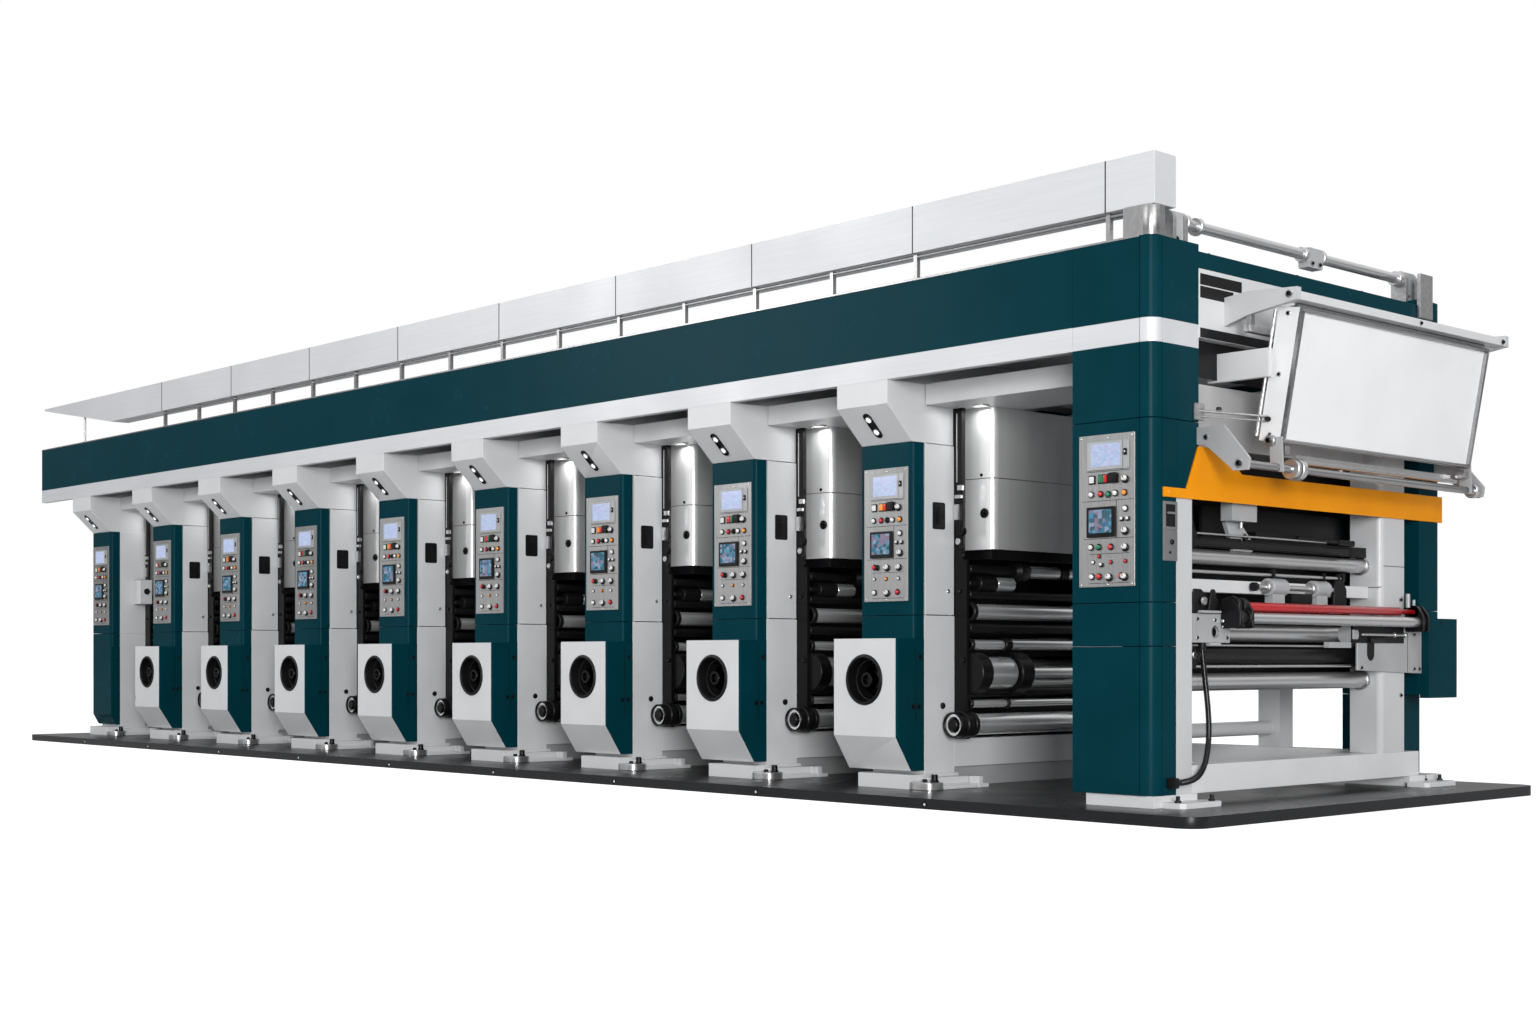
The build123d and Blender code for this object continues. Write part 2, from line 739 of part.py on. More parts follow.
# Brackets of the rods: roof brackets and clamp, arms and links of the lower rod
arm_plate = 20.0
link_plate = 12.0
rod_x, rod_z = lower_rod
rod_arm = [
    (end_x, rod_z + 119.0),
    (end_x + 53.0, rod_z + 113.0),
    (rod_x - 41.0, rod_z - 36.0),
    (rod_x + 45.0, rod_z - 36.0),
    (rod_x + 55.0, rod_z + 25.0),
    (end_x + 167.0, rod_z + 212.0),
    (end_x, rod_z + 210.0),
]
link = [
    (rod_x - 45.0, rod_z + 164.0),
    (rod_x - 40.0, rod_z - 16.0),
    (rod_x + 40.0, rod_z - 26.0),
    (rod_x + 30.0, rod_z + 164.0),
]
collar_radius = 40.0
with BuildPart() as rod_brackets:
    half = collar_radius
    base = fascia_top
    for depth in ((roof_rod_y[0] - 116.0, roof_rod_y[0]), (roof_rod_y[1], roof_rod_y[1] + 110.0)):
        block((roof_rod[0] - half, roof_rod[0] + half), depth, (base, roof_rod[1] + half))
    clamp = (130.0, 280.0)
    through = (clamp[0] - 1, clamp[1] + 1)
    block((roof_rod[0] - 35.0, roof_rod[0] + 35.0), clamp, (roof_rod[1] - 75.0, roof_rod[1] + half))
    round_bar(roof_rod[0], roof_rod[1], roof_rod_radius + seat_gap, through, Mode.SUBTRACT)
    front_profile(rod_arm, (lower_rod_y[0] - arm_plate, lower_rod_y[0]))
    front_profile(rod_arm, (lower_rod_y[1], lower_rod_y[1] + arm_plate))
    for depth in ((board_y[0] - link_plate, board_y[0]), (board_y[1], board_y[1] + link_plate)):
        front_profile(link, depth)
        hole = (depth[0] - 1, depth[1] + 1)
        round_bar(lower_rod[0], lower_rod[1], lower_rod_radius + seat_gap, hole, Mode.SUBTRACT)
save(rod_brackets, "rod_brackets")

# Brackets of the outer rollers
front_bracket_y = (end_post_front[1], front_block_y[0] + 90.0)
front_bracket_z = (red_roller_z - 197.0, red_roller_z - 41.0)
wing_front = rear_block_y[0] - 540.0
wing_rear = rear_column_inner + 6.0
wing_top = red_roller_z + 8.0
wing_step = red_roller_z - 190.0
wing_low = red_roller_z - 374.0
rear_wing = [
    (wing_front, wing_low + 23.0),
    (wing_rear, wing_low),
    (wing_rear, wing_top),
    (rear_block_y[0], wing_top),
    (rear_block_y[0], wing_step),
    (wing_front, wing_step),
]
bracket_hole = (end_x, front_bracket_y[0] + 188.0, front_bracket_z[0] + 57.0)
with BuildPart() as end_brackets:
    block((end_x - bracket_thickness, bracket_x[1]), front_bracket_y, front_bracket_z)
    with Locations(Location(bracket_hole, (0, 90, 0))):
        Cylinder(30.0, 4 * bracket_thickness, mode=Mode.SUBTRACT)
    side_profile(rear_wing, bracket_x)
save(end_brackets, "end_brackets")

# Teal junction box on the rear column
junction_depth = 60.0
junction_z = (600.0, 1090.0)
with BuildPart() as junction_box:
    block((end_x, end_x + junction_depth), (rear_column_inner + 10.0, half_depth + 66.0), junction_z)
save(junction_box, "junction_box")

# Small boxes: the latch box on the front end column and the switch box in the first bay
latch_z = (1355.0, 1669.0)
latch_depth = 6.0
switch_z = (1403.0, 1657.0)
switch_width = 160.0
switch_depth = 120.0
with BuildPart() as side_boxes:
    block((end_x, end_x + latch_depth), (front_y + column_corner, column_lower_inner), latch_z)
    left = pillar_x[0] + pillar_width
    block((left, left + switch_width), (channel_y[0] - switch_depth, channel_y[0]), switch_z)
save(side_boxes, "side_boxes")

# Corrugated conduit from the front bracket down to the end column, as its plain outer tube
conduit_radius = 17.0
conduit_route = [
    (end_x, front_y + 442.0, 888.0),
    (end_x + 12.0, front_y + 446.0, 750.0),
    (end_x + 34.0, front_y + 452.0, 560.0),
    (end_x + 46.0, front_y + 439.0, 390.0),
    (end_x + 51.0, front_y + 384.0, 250.0),
    (end_x + 44.0, front_y + 289.0, 190.0),
    (end_x + 32.0, front_y + 169.0, 190.0),
]
knots = [Vector(*point) for point in conduit_route]
runs = [b - a for a, b in zip(knots, knots[1:])]
bend_radii = []
for before, after in zip(runs, runs[1:]):
    turn = radians(before.get_angle(after))
    bend_radii.append(0.45 * min(before.length, after.length) / tan(turn / 2))
with BuildPart() as conduit:
    with BuildLine() as path:
        FilletPolyline(*conduit_route, radius=bend_radii)
    with BuildSketch(Plane(origin=conduit_route[0], z_dir=runs[0])):
        Circle(conduit_radius)
    sweep(path=path.line)
save(conduit, "conduit")
print("conduit bends", [round(r) for r in bend_radii])
length = path.wire().length
print("conduit length", length, "volume", conduit.part.volume, "as a tube", pi * conduit_radius**2 * length)

# Glands of the conduit: one under the bracket, one box on the column
gland_radius = 22.0
gland_gap = 2.0
gland_size = (60.0, 50.0, 56.0)
upper_end = conduit_route[0]
lower_end = conduit_route[-1]
with BuildPart() as conduit_gland:
    upright(upper_end[0], upper_end[1], gland_radius, (upper_end[2] + gland_gap, front_bracket_z[0]))
    gland_y = lower_end[1] - gland_gap
    gland_z = (lower_end[2] - gland_size[2] / 2, lower_end[2] + gland_size[2] / 2)
    block((end_x, end_x + gland_size[0]), (gland_y - gland_size[1], gland_y), gland_z)
save(conduit_gland, "conduit_gland")
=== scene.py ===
"""Rotogravure printing press: finishes, fittings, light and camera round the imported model. Metres, +Z up."""
import math

import bmesh
import bpy
from mathutils import Matrix, Vector


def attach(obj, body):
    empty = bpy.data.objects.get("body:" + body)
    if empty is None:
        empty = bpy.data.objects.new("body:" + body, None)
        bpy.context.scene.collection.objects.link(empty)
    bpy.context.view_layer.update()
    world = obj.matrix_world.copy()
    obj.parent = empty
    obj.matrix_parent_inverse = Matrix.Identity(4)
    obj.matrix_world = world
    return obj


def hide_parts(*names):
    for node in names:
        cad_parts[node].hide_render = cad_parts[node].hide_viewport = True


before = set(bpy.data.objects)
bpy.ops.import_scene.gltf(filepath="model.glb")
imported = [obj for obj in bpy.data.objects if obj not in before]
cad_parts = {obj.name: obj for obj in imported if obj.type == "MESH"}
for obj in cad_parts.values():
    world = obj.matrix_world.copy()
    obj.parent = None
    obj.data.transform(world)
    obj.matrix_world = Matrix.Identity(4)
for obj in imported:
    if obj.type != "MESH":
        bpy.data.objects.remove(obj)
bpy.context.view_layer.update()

# Directions: to the near end, to the drive side, to the operator side and up
NEAR, REAR, OPERATOR, UP = (1, 0, 0), (0, 1, 0), (0, -1, 0), (0, 0, 1)

# Places shared by the pieces
UNITS = range(1, 10)
PRINT_UNITS = range(2, 10)
PITCH = 1.4
PILLAR_X = {n: 4.401 - (9 - n) * PITCH for n in UNITS}
PILLAR_WIDTH = 0.431
FRONT = -1.514
PILLAR_FRONT = -1.297
SEAM = -1.2
GUARD_FRONT = -1.432
CHANNEL_FACE = 0.928
PRINT_X = 0.15
PRINT_Z = 0.715
END_X = 6.73
COLUMN_X = 6.204
PLATE_TOP = 0.06

# ------------ camera
camera_data = bpy.data.cameras.new("camera")
camera = bpy.data.objects.new("camera", camera_data)
bpy.context.scene.collection.objects.link(camera)
camera.location = (12.7638, -9.8121, 0.8406)
camera.rotation_euler = (math.radians(90), 0, math.radians(47.26))
camera_data.lens = 45.37
camera_data.sensor_width = 36
camera_data.shift_y = 0.0957
camera_data.clip_end = 200
bpy.context.scene.camera = camera


# ------------ finishes
def node(tree, kind, inputs=None, **settings):
    """A new shader node, with its settings and its inputs, each a link or a constant."""
    made = tree.nodes.new("ShaderNode" + kind)
    for name, value in settings.items():
        setattr(made, name, value)
    wire(tree, made, inputs or {})
    return made


def wire(tree, target, inputs):
    """Give a node its inputs: a socket is linked, and anything else is set as a constant."""
    for name, value in inputs.items():
        if isinstance(value, bpy.types.NodeSocket):
            tree.links.new(value, target.inputs[name])
        else:
            target.inputs[name].default_value = value


def calculate(tree, operation, *values):
    """The result of one sum, whose terms are sockets or constants."""
    return node(tree, "Math", dict(enumerate(values)), operation=operation).outputs[0]


def node_group(name, inputs, outputs):
    """A shader group with its named sockets, and its input and output nodes."""
    tree = bpy.data.node_groups.new(name, "ShaderNodeTree")
    for label, kind, value in inputs:
        tree.interface.new_socket(label, in_out="INPUT", socket_type=kind).default_value = value
    for label in outputs:
        tree.interface.new_socket(label, in_out="OUTPUT", socket_type="NodeSocketFloat")
    return tree, tree.nodes.new("NodeGroupInput"), tree.nodes.new("NodeGroupOutput")


def grain_group():
    """Streaks of brushed metal, stretched by the scale given along each axis. Stretched wide, they also give the
    hood's painted banding of light and shade.
    """
    tree, given, out = node_group(
        "brush grain",
        [("Stretch", "NodeSocketVector", (1, 1, 1)), ("Amount", "NodeSocketFloat", 0.5)],
        ["Streak", "Cloud"],
    )
    place = node(tree, "TexCoord").outputs["Object"]
    stretched = node(tree, "VectorMath", {0: place, 1: given.outputs["Stretch"]}, operation="MULTIPLY")
    streak = node(tree, "TexNoise", {"Vector": stretched.outputs[0], "Scale": 1.0, "Detail": 4.0})
    cloud = node(tree, "TexNoise", {"Vector": place, "Scale": 1.3, "Detail": 3.0})
    scaled = calculate(tree, "MULTIPLY", streak.outputs["Fac"], given.outputs["Amount"])
    wire(tree, out, {"Streak": scaled, "Cloud": cloud.outputs["Fac"]})
    return tree


def skin_group():
    """Fine skin of sprayed paint or moulded plastic, with soft smudges over it."""
    tree, given, out = node_group(
        "sprayed skin", [("Scale", "NodeSocketFloat", 300.0)], ["Height", "Smudge"])
    place = node(tree, "TexCoord").outputs["Object"]
    peel = node(tree, "TexNoise", {"Vector": place, "Scale": given.outputs["Scale"], "Detail": 2.0})
    smudge = node(tree, "TexNoise", {"Vector": place, "Scale": 2.6, "Detail": 5.0})
    wire(tree, out, {"Height": peel.outputs["Fac"], "Smudge": smudge.outputs["Fac"]})
    return tree


GRAIN = grain_group()
SKIN = skin_group()


def finish_base(name, roughness, metallic):
    """A new material with its tree and its shader, ready for its textures."""
    material = bpy.data.materials.new(name)
    material.use_nodes = True
    tree = material.node_tree
    shader = tree.nodes["Principled BSDF"]
    wire(tree, shader, {"Roughness": roughness, "Metallic": metallic})
    return material, tree, shader


def two_tones(tree, factor, dark, light, low=0.35, high=0.65):
    """Colour between two tones by a mask."""
    ramp = node(tree, "ValToRGB", {"Fac": factor})
    for stop, position, tone in zip(ramp.color_ramp.elements, (low, high), (dark, light)):
        stop.position = position
        stop.color = (*tone, 1)
    return ramp.outputs["Color"]


def spread(tree, factor, low, high):
    """A mask brought into a range of roughness."""
    return node(tree, "MapRange", {"Value": factor, "From Min": 0.3, "From Max": 0.7,
                                   "To Min": low, "To Max": high}).outputs["Result"]


def bump(tree, height, strength, distance):
    """A normal with a fine relief."""
    return node(tree, "Bump", {"Strength": strength, "Distance": distance,
                               "Height": height}).outputs["Normal"]


def skin_of(tree, scale):
    """The outputs of a sprayed skin."""
    return node(tree, "Group", {"Scale": scale}, node_tree=SKIN).outputs


def grain_of(tree, stretch, amount=0.5):
    """The outputs of a brush grain."""
    return node(tree, "Group", {"Stretch": stretch, "Amount": amount}, node_tree=GRAIN).outputs


def painted(name, dark, light, roughness=0.35, coat=0.3, scale=300.0, relief=0.03, gloss=0.5):
    """Sprayed paint or moulded plastic between two near tones."""
    material, tree, shader = finish_base(name, roughness, 0.0)
    skin = skin_of(tree, scale)
    wire(tree, shader, {
        "Specular IOR Level": gloss,
        "Coat Weight": coat,
        "Coat Roughness": 0.12,
        "Base Color": two_tones(tree, skin["Smudge"], dark, light),
        "Roughness": spread(tree, skin["Smudge"], roughness * 0.85, roughness * 1.15),
        "Normal": bump(tree, skin["Height"], relief, 0.002),
    })
    return material


def brushed(name, dark, light, stretch, roughness=0.3, relief=0.05, metal=1.0):
    """Metal with a grain along one axis."""
    material, tree, shader = finish_base(name, roughness, metal)
    grain = grain_of(tree, stretch, 1.0)
    wire(tree, shader, {
        "Base Color": two_tones(tree, grain["Streak"], dark, light),
        "Roughness": spread(tree, grain["Cloud"], roughness * 0.8, roughness * 1.25),
    })
    if relief:
        wire(tree, shader, {"Normal": bump(tree, grain["Streak"], relief, 0.001)})
    return material


WHITE = painted("white enamel", (0.61, 0.615, 0.622), (0.65, 0.655, 0.662), 0.38, 0.12, gloss=0.4)
# painted light: a lighter copy of the white enamel, for the light that falls on the leaning board
LIT_BOARD_WHITE = painted("board enamel", (0.8, 0.805, 0.815), (0.84, 0.845, 0.855), 0.4, 0.1, gloss=0.4)
# painted shade: a darker copy of the white enamel, for the shade on the end frame's posts
SHADED_END_WHITE = painted("pale grey enamel", (0.52, 0.525, 0.532), (0.55, 0.555, 0.562), 0.38, 0.12, gloss=0.4)
TEAL = painted("teal enamel", (0.001, 0.032, 0.044), (0.0013, 0.036, 0.05), 0.25, 0.0, 300, 0.003, 0.03)
GREY = painted("light grey enamel", (0.32, 0.325, 0.33), (0.4, 0.405, 0.41), 0.36, 0.2)
MID_GREY = painted("mid grey enamel", (0.13, 0.133, 0.137), (0.17, 0.173, 0.178), 0.36, 0.1)
BLACK_PAINT = painted("black enamel", (0.004, 0.004, 0.0045), (0.007, 0.007, 0.008), 0.3, 0.0, gloss=0.13)
ORANGE = painted("orange enamel", (0.76, 0.26, 0.001), (0.83, 0.3, 0.002), 0.32, 0.0, gloss=0.14)
PLASTIC = painted("black plastic", (0.005, 0.005, 0.0055), (0.009, 0.009, 0.01), 0.34, 0.0, 700, 0.05, 0.16)
HOSE = painted("ribbed hose", (0.003, 0.003, 0.0035), (0.006, 0.006, 0.007), 0.14, 0.0, 700, 0.01, 0.4)
RUBBER = painted("dark rubber", (0.007, 0.007, 0.0075), (0.012, 0.012, 0.013), 0.36, 0.0, 900, 0.05, 0.22)
RED_RUBBER = painted("red rubber", (0.33, 0.003, 0.006), (0.42, 0.006, 0.01), 0.28, 0.3, 900, 0.02)
FLOOR_PLATE = painted("floor plate", (0.009, 0.0095, 0.011), (0.013, 0.0135, 0.016), 0.3, 0.0, 500, 0.02, 0.2)
SILVER = brushed("brushed aluminium", (0.6, 0.61, 0.625), (0.63, 0.64, 0.655), (2, 90, 90),
                 0.4, relief=0.0, metal=0.2)
SILVER_UP = brushed("brushed plate", (0.3, 0.3, 0.3), (0.38, 0.38, 0.38), (260, 260, 6), 0.45, relief=0.01)
CHROME = brushed("polished chrome", (0.76, 0.765, 0.77), (0.79, 0.795, 0.8), (60, 2, 60),
                 0.22, relief=0.0, metal=0.72)
SATIN = brushed("satin steel", (0.54, 0.54, 0.545), (0.58, 0.58, 0.585), (90, 3, 90), 0.28, relief=0.0, metal=0.85)
TUBE = brushed("drawn tube", (0.34, 0.34, 0.345), (0.4, 0.4, 0.405), (60, 3, 60), 0.26, relief=0.0)
STEEL = brushed("machined steel", (0.42, 0.42, 0.42), (0.56, 0.56, 0.56), (90, 90, 90), 0.3, relief=0.02)
CAST = brushed("cast aluminium", (0.36, 0.36, 0.365), (0.46, 0.46, 0.465), (40, 40, 40), 0.42, relief=0.05)
DARK_STEEL = brushed("blackened steel", (0.014, 0.014, 0.015), (0.03, 0.03, 0.032), (120, 10, 120), 0.3)
WHITE_CAP = painted("white cap", (0.66, 0.66, 0.63), (0.74, 0.74, 0.71), 0.3, 0.4, 900, 0.01)
RED_CAP = painted("red cap", (0.5, 0.006, 0.01), (0.6, 0.01, 0.016), 0.28, 0.5, 900, 0.01)
GREEN_CAP = painted("green cap", (0.003, 0.14, 0.06), (0.005, 0.2, 0.09), 0.28, 0.5, 900, 0.01)
ORANGE_CAP = painted("orange cap", (0.75, 0.22, 0.01), (0.85, 0.3, 0.02), 0.28, 0.5, 900, 0.01)


def hood_with_painted_light():
    """Stainless sheet: a fine upright grain over broad soft banding of painted light and shade, a painted sheen in
    the middle of the near face, and painted light on the faces that look along Y.
    """
    material, tree, shader = finish_base("brushed stainless steel", 0.3, 0.45)
    grain = grain_of(tree, (180, 180, 1.5))
    # painted light and shade: broad soft banding that lightens and darkens the colour
    painted_bands = grain_of(tree, (2.6, 2.6, 0.12), 0.86)
    fine = calculate(tree, "MULTIPLY_ADD", grain["Streak"], 0.14, painted_bands["Streak"])
    # painted sheen: the colour is lighter in the middle of the near face
    place = node(tree, "SeparateXYZ", {0: node(tree, "TexCoord").outputs["Object"]})
    off = calculate(tree, "ABSOLUTE", calculate(tree, "ADD", place.outputs["Y"], 0.19))
    sheen = node(tree, "MapRange", {"Value": off, "From Min": 0.34, "From Max": 0.0, "To Max": 0.26},
                 interpolation_type="SMOOTHSTEP")
    with_painted_sheen = calculate(tree, "ADD", fine, sheen.outputs["Result"])
    # painted light: the faces towards the operator and the drive side are made lighter
    facing_way = node(tree, "SeparateXYZ", {0: node(tree, "NewGeometry").outputs["Normal"]})
    painted_side_light = calculate(tree, "ABSOLUTE", facing_way.outputs["Y"])
    tone = calculate(tree, "MULTIPLY_ADD", painted_side_light, 0.3, with_painted_sheen)
    wire(tree, shader, {
        "Base Color": two_tones(tree, tone, (0.52, 0.52, 0.52), (0.9, 0.9, 0.9), 0.36, 0.84),
        "Roughness": spread(tree, painted_bands["Cloud"], 0.29, 0.31),
        "Normal": bump(tree, grain["Streak"], 0.012, 0.001),
    })
    return material


STAINLESS = hood_with_painted_light()


def lit(name, colour, strength):
    """A glowing lens."""
    material, tree, shader = finish_base(name, 0.2, 0.0)
    glow = two_tones(tree, skin_of(tree, 60.0)["Smudge"], [c * 0.9 for c in colour], colour)
    wire(tree, shader, {"Base Color": glow, "Emission Color": glow, "Emission Strength": strength})
    return material


LAMP = lit("lamp lens", (1.0, 0.98, 0.92), 2.2)


def screen_finish(name, cell, tones, strength):
    """A generic display: soft blocks of colour in a grid of cells."""
    material, tree, shader = finish_base(name, 0.12, 0.0)
    place = node(tree, "TexCoord").outputs["Object"]
    scale = node(tree, "VectorMath", {0: place, 1: cell}, operation="MULTIPLY")
    blocks = node(tree, "TexVoronoi", {"Vector": scale.outputs[0], "Scale": 1.0, "Randomness": 0.8},
                  distance="CHEBYCHEV")
    pick = node(tree, "SeparateColor", {0: blocks.outputs["Color"]})
    ramp = node(tree, "ValToRGB", {"Fac": pick.outputs["Red"]})
    ramp.color_ramp.interpolation = "CONSTANT"
    while len(ramp.color_ramp.elements) < len(tones):
        ramp.color_ramp.elements.new(0.5)
    for i, tone in enumerate(tones):
        ramp.color_ramp.elements[i].position = i / len(tones)
        ramp.color_ramp.elements[i].color = (*tone, 1)
    wire(tree, shader, {
        "Base Color": two_tones(tree, pick.outputs["Green"], (0.01, 0.012, 0.016), (0.03, 0.034, 0.04)),
        "Emission Color": ramp.outputs["Color"],
        "Emission Strength": strength,
    })
    return material


PALE_SCREEN = screen_finish(
    "pale display", (46, 1, 75),
    [(0.5, 0.62, 0.92), (0.58, 0.69, 0.95), (0.54, 0.66, 0.93), (0.6, 0.6, 0.88), (0.58, 0.7, 0.96)], 0.8)
COLOUR_SCREEN = screen_finish(
    "colour display", (38, 1, 46),
    [(0.04, 0.2, 0.34), (0.1, 0.34, 0.52), (0.34, 0.42, 0.58), (0.03, 0.13, 0.17), (0.3, 0.24, 0.36)], 0.7)

# ------------ pieces
SHAPES = {}


def add(piece, shape, matrix=None):
    """Move a finished shape into the named piece."""
    mesh = bpy.data.meshes.new("shape")
    shape.to_mesh(mesh)
    shape.free()
    if matrix is not None:
        mesh.transform(matrix)
    SHAPES.setdefault(piece, bmesh.new()).from_mesh(mesh)
    bpy.data.meshes.remove(mesh)


def soften(shape, width, segments=2, edges=None):
    """Bevel the given edges, or all of them."""
    if width:
        bmesh.ops.bevel(shape, geom=list(edges or shape.edges), offset=width, segments=segments,
                        profile=0.5, affect="EDGES", material=-1)


def round_corners(shape, corners, radius, segments):
    """Round the corners of a flat shape."""
    bmesh.ops.bevel(shape, geom=corners, offset=radius, segments=segments, profile=0.5, affect="VERTICES",
                    material=-1)


def thicken(shape, push, faces=None):
    """Draw the given faces out, or all of them."""
    grown = bmesh.ops.extrude_face_region(shape, geom=faces or shape.faces[:])["geom"]
    bmesh.ops.translate(shape, vec=push, verts=[v for v in grown if isinstance(v, bmesh.types.BMVert)])


def soften_block(shape, width, segments):
    """Bevel the sharp edges of a block."""
    bmesh.ops.recalc_face_normals(shape, faces=shape.faces)
    soften(shape, width, segments, [e for e in shape.edges if e.calc_face_angle(0) > 0.6])


def box(piece, low, high, bevel=0.002):
    """A box between two corners."""
    shape = bmesh.new()
    bmesh.ops.create_cube(shape, size=1.0)
    low, high = Vector(low), Vector(high)
    bmesh.ops.scale(shape, vec=high - low, verts=shape.verts)
    bmesh.ops.translate(shape, vec=(low + high) / 2, verts=shape.verts)
    soften(shape, bevel)
    add(piece, shape)


def facing(at, direction):
    """A matrix that sets a shape made along Z at a place, along a direction."""
    turn = Vector(direction).to_track_quat("Z", "Y").to_matrix().to_4x4()
    return Matrix.Translation(Vector(at)) @ turn


def turned(piece, profile, at, direction, steps=32):
    """A turned shape: the profile gives pairs of distance along the axis and radius."""
    shape = bmesh.new()
    verts = [shape.verts.new((radius, 0, along)) for along, radius in profile]
    edges = [shape.edges.new(pair) for pair in zip(verts, verts[1:])]
    bmesh.ops.spin(shape, geom=verts + edges, axis=(0, 0, 1), cent=(0, 0, 0), angle=math.tau,
                   steps=steps, use_merge=True)
    bmesh.ops.remove_doubles(shape, verts=shape.verts, dist=0.00002)
    add(piece, shape, facing(at, direction))


def knob(piece, at, direction, radius, rise, top, height, steps, start=0, closed=False):
    """A turned knob: its radius up to the rise, then narrowing to its top at the full height."""
    turned(piece, [(start, 0)] * closed + [(start, radius), (rise, radius), (height, top), (height, 0)],
           at, direction, steps)


def screw(at, direction, radius=0.006):
    """A small round-headed screw."""
    knob("screws", at, direction, radius, 0.5 * radius, 0.7 * radius, 0.8 * radius, 10, -0.001)


def rod(piece, start, end, radius, bevel=0.002, steps=20):
    """A round rod with softened ends."""
    start, end = Vector(start), Vector(end)
    length = (end - start).length
    profile = [(0, 0), (0, radius - bevel), (bevel, radius), (length - bevel, radius),
               (length, radius - bevel), (length, 0)]
    turned(piece, profile, start, end - start, steps)


def along(piece, x, z, start, stop, radius, bevel=0.002, steps=20):
    """A round rod that lies along Y."""
    rod(piece, (x, start, z), (x, stop, z), radius, bevel, steps)


def plate(piece, outline, offset, thickness, axis="X", bevel=0.003, round_at=0.0):
    """A flat plate cut to an outline. The outline is drawn across the axis, in the order X Y Z."""
    shape = bmesh.new()
    across = "XYZ".index(axis)
    corners = [shape.verts.new((*spot[:across], offset, *spot[across:])) for spot in outline]
    shape.faces.new(corners)
    if round_at:
        round_corners(shape, corners, round_at, 4)
    thicken(shape, [thickness * (name == axis) for name in "XYZ"])
    soften_block(shape, bevel, 1)
    add(piece, shape)


def hexagon(piece, at, direction, radius, height):
    """A hexagon head or nut."""
    shape = bmesh.new()
    bmesh.ops.create_cone(shape, cap_ends=True, segments=6, radius1=radius, radius2=radius, depth=height)
    bmesh.ops.translate(shape, vec=(0, 0, height / 2), verts=shape.verts)
    soften(shape, radius * 0.12, 1)
    add(piece, shape, facing(at, direction))


def column(piece, x, y, z, radius, corners, bevel=0.003):
    """An upright block whose named corners are rounded: near and far in X, front and rear in Y."""
    shape = bmesh.new()
    spots = {("far", "front"): (x[0], y[0]), ("near", "front"): (x[1], y[0]),
             ("near", "rear"): (x[1], y[1]), ("far", "rear"): (x[0], y[1])}
    verts = [shape.verts.new((*spot, z[0])) for spot in spots.values()]
    shape.faces.new(verts)
    round_corners(shape, [v for v, name in zip(verts, spots) if name in corners], radius, 12)
    thicken(shape, (0, 0, z[1] - z[0]))
    soften_block(shape, bevel, 2)
    add(piece, shape)


def loose(piece, body="root", material=None, stands_for=()):
    """Finish a piece: its object, its smooth faces, its material and the body that it rides on."""
    shape = SHAPES.pop(piece)
    bmesh.ops.recalc_face_normals(shape, faces=shape.faces)
    mesh = bpy.data.meshes.new(piece)
    shape.to_mesh(mesh)
    shape.free()
    for polygon in mesh.polygons:
        polygon.use_smooth = True
    mesh.set_sharp_from_angle(angle=math.radians(38))
    mesh.materials.append(material)
    item = bpy.data.objects.new(piece, mesh)
    bpy.context.scene.collection.objects.link(item)
    even = item.modifiers.new("even shading", "WEIGHTED_NORMAL")
    even.keep_sharp = True
    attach(item, body)
    if stands_for:
        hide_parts(*stands_for)
    return item


def fixed(*rows):
    """Finish fixed pieces: each row is a piece, its material, the record's slot and what it stands for; the slot is
    not used.
    """
    for piece, material, record_slot, *stands_for in rows:
        loose(piece, "root", material, stands_for)


# ------------ conduit
ROUTE = [
    (6.73, -1.072, 0.888), (6.742, -1.068, 0.75), (6.764, -1.062, 0.56), (6.776, -1.075, 0.39),
    (6.781, -1.13, 0.25), (6.774, -1.225, 0.19), (6.762, -1.345, 0.19),
]


def spline_points(points, resolution):
    """Points read along a smooth curve that has the given control points."""
    curve = bpy.data.curves.new("route", "CURVE")
    curve.dimensions = "3D"
    curve.resolution_u = resolution
    spline = curve.splines.new("NURBS")
    spline.points.add(len(points) - 1)
    for target, point in zip(spline.points, points):
        target.co = (*point, 1)
    spline.order_u = 3
    spline.use_endpoint_u = True
    holder = bpy.data.objects.new("route", curve)
    mesh = bpy.data.meshes.new_from_object(holder)
    found = [v.co.copy() for v in mesh.vertices]
    bpy.data.objects.remove(holder)
    bpy.data.curves.remove(curve)
    bpy.data.meshes.remove(mesh)
    return found


def evenly(points, gap):
    """The same line with points a fixed distance apart."""
    out, carry = [points[0]], 0.0
    for a, b in zip(points, points[1:]):
        step, length = gap - carry, (b - a).length
        while step <= length:
            out.append(a.lerp(b, step / length))
            step += gap
        carry = length - (step - gap)
    return out + [points[-1]]


def tube_along(piece, points, radii, steps=16):
    """A tube round a line of points, with a radius at each, closed at both ends."""
    shape = bmesh.new()
    rings = []
    side = Vector((0, 1, 0)).cross(points[1] - points[0]).normalized()
    for i, point in enumerate(points):
        run = (points[min(i + 1, len(points) - 1)] - points[max(i - 1, 0)]).normalized()
        side = (side - run * side.dot(run)).normalized()
        other = run.cross(side)
        ring = bmesh.ops.create_circle(shape, segments=steps, radius=radii[i])["verts"]
        turn = Matrix((side, other, run)).transposed().to_4x4()
        bmesh.ops.transform(shape, matrix=Matrix.Translation(point) @ turn, verts=ring)
        rings.append(ring)
    for a, b in zip(rings, rings[1:]):
        for i in range(steps):
            j = (i + 1) % steps
            shape.faces.new((a[i], a[j], b[j], b[i]))
    shape.faces.new(rings[0])
    shape.faces.new(rings[-1])
    add(piece, shape)


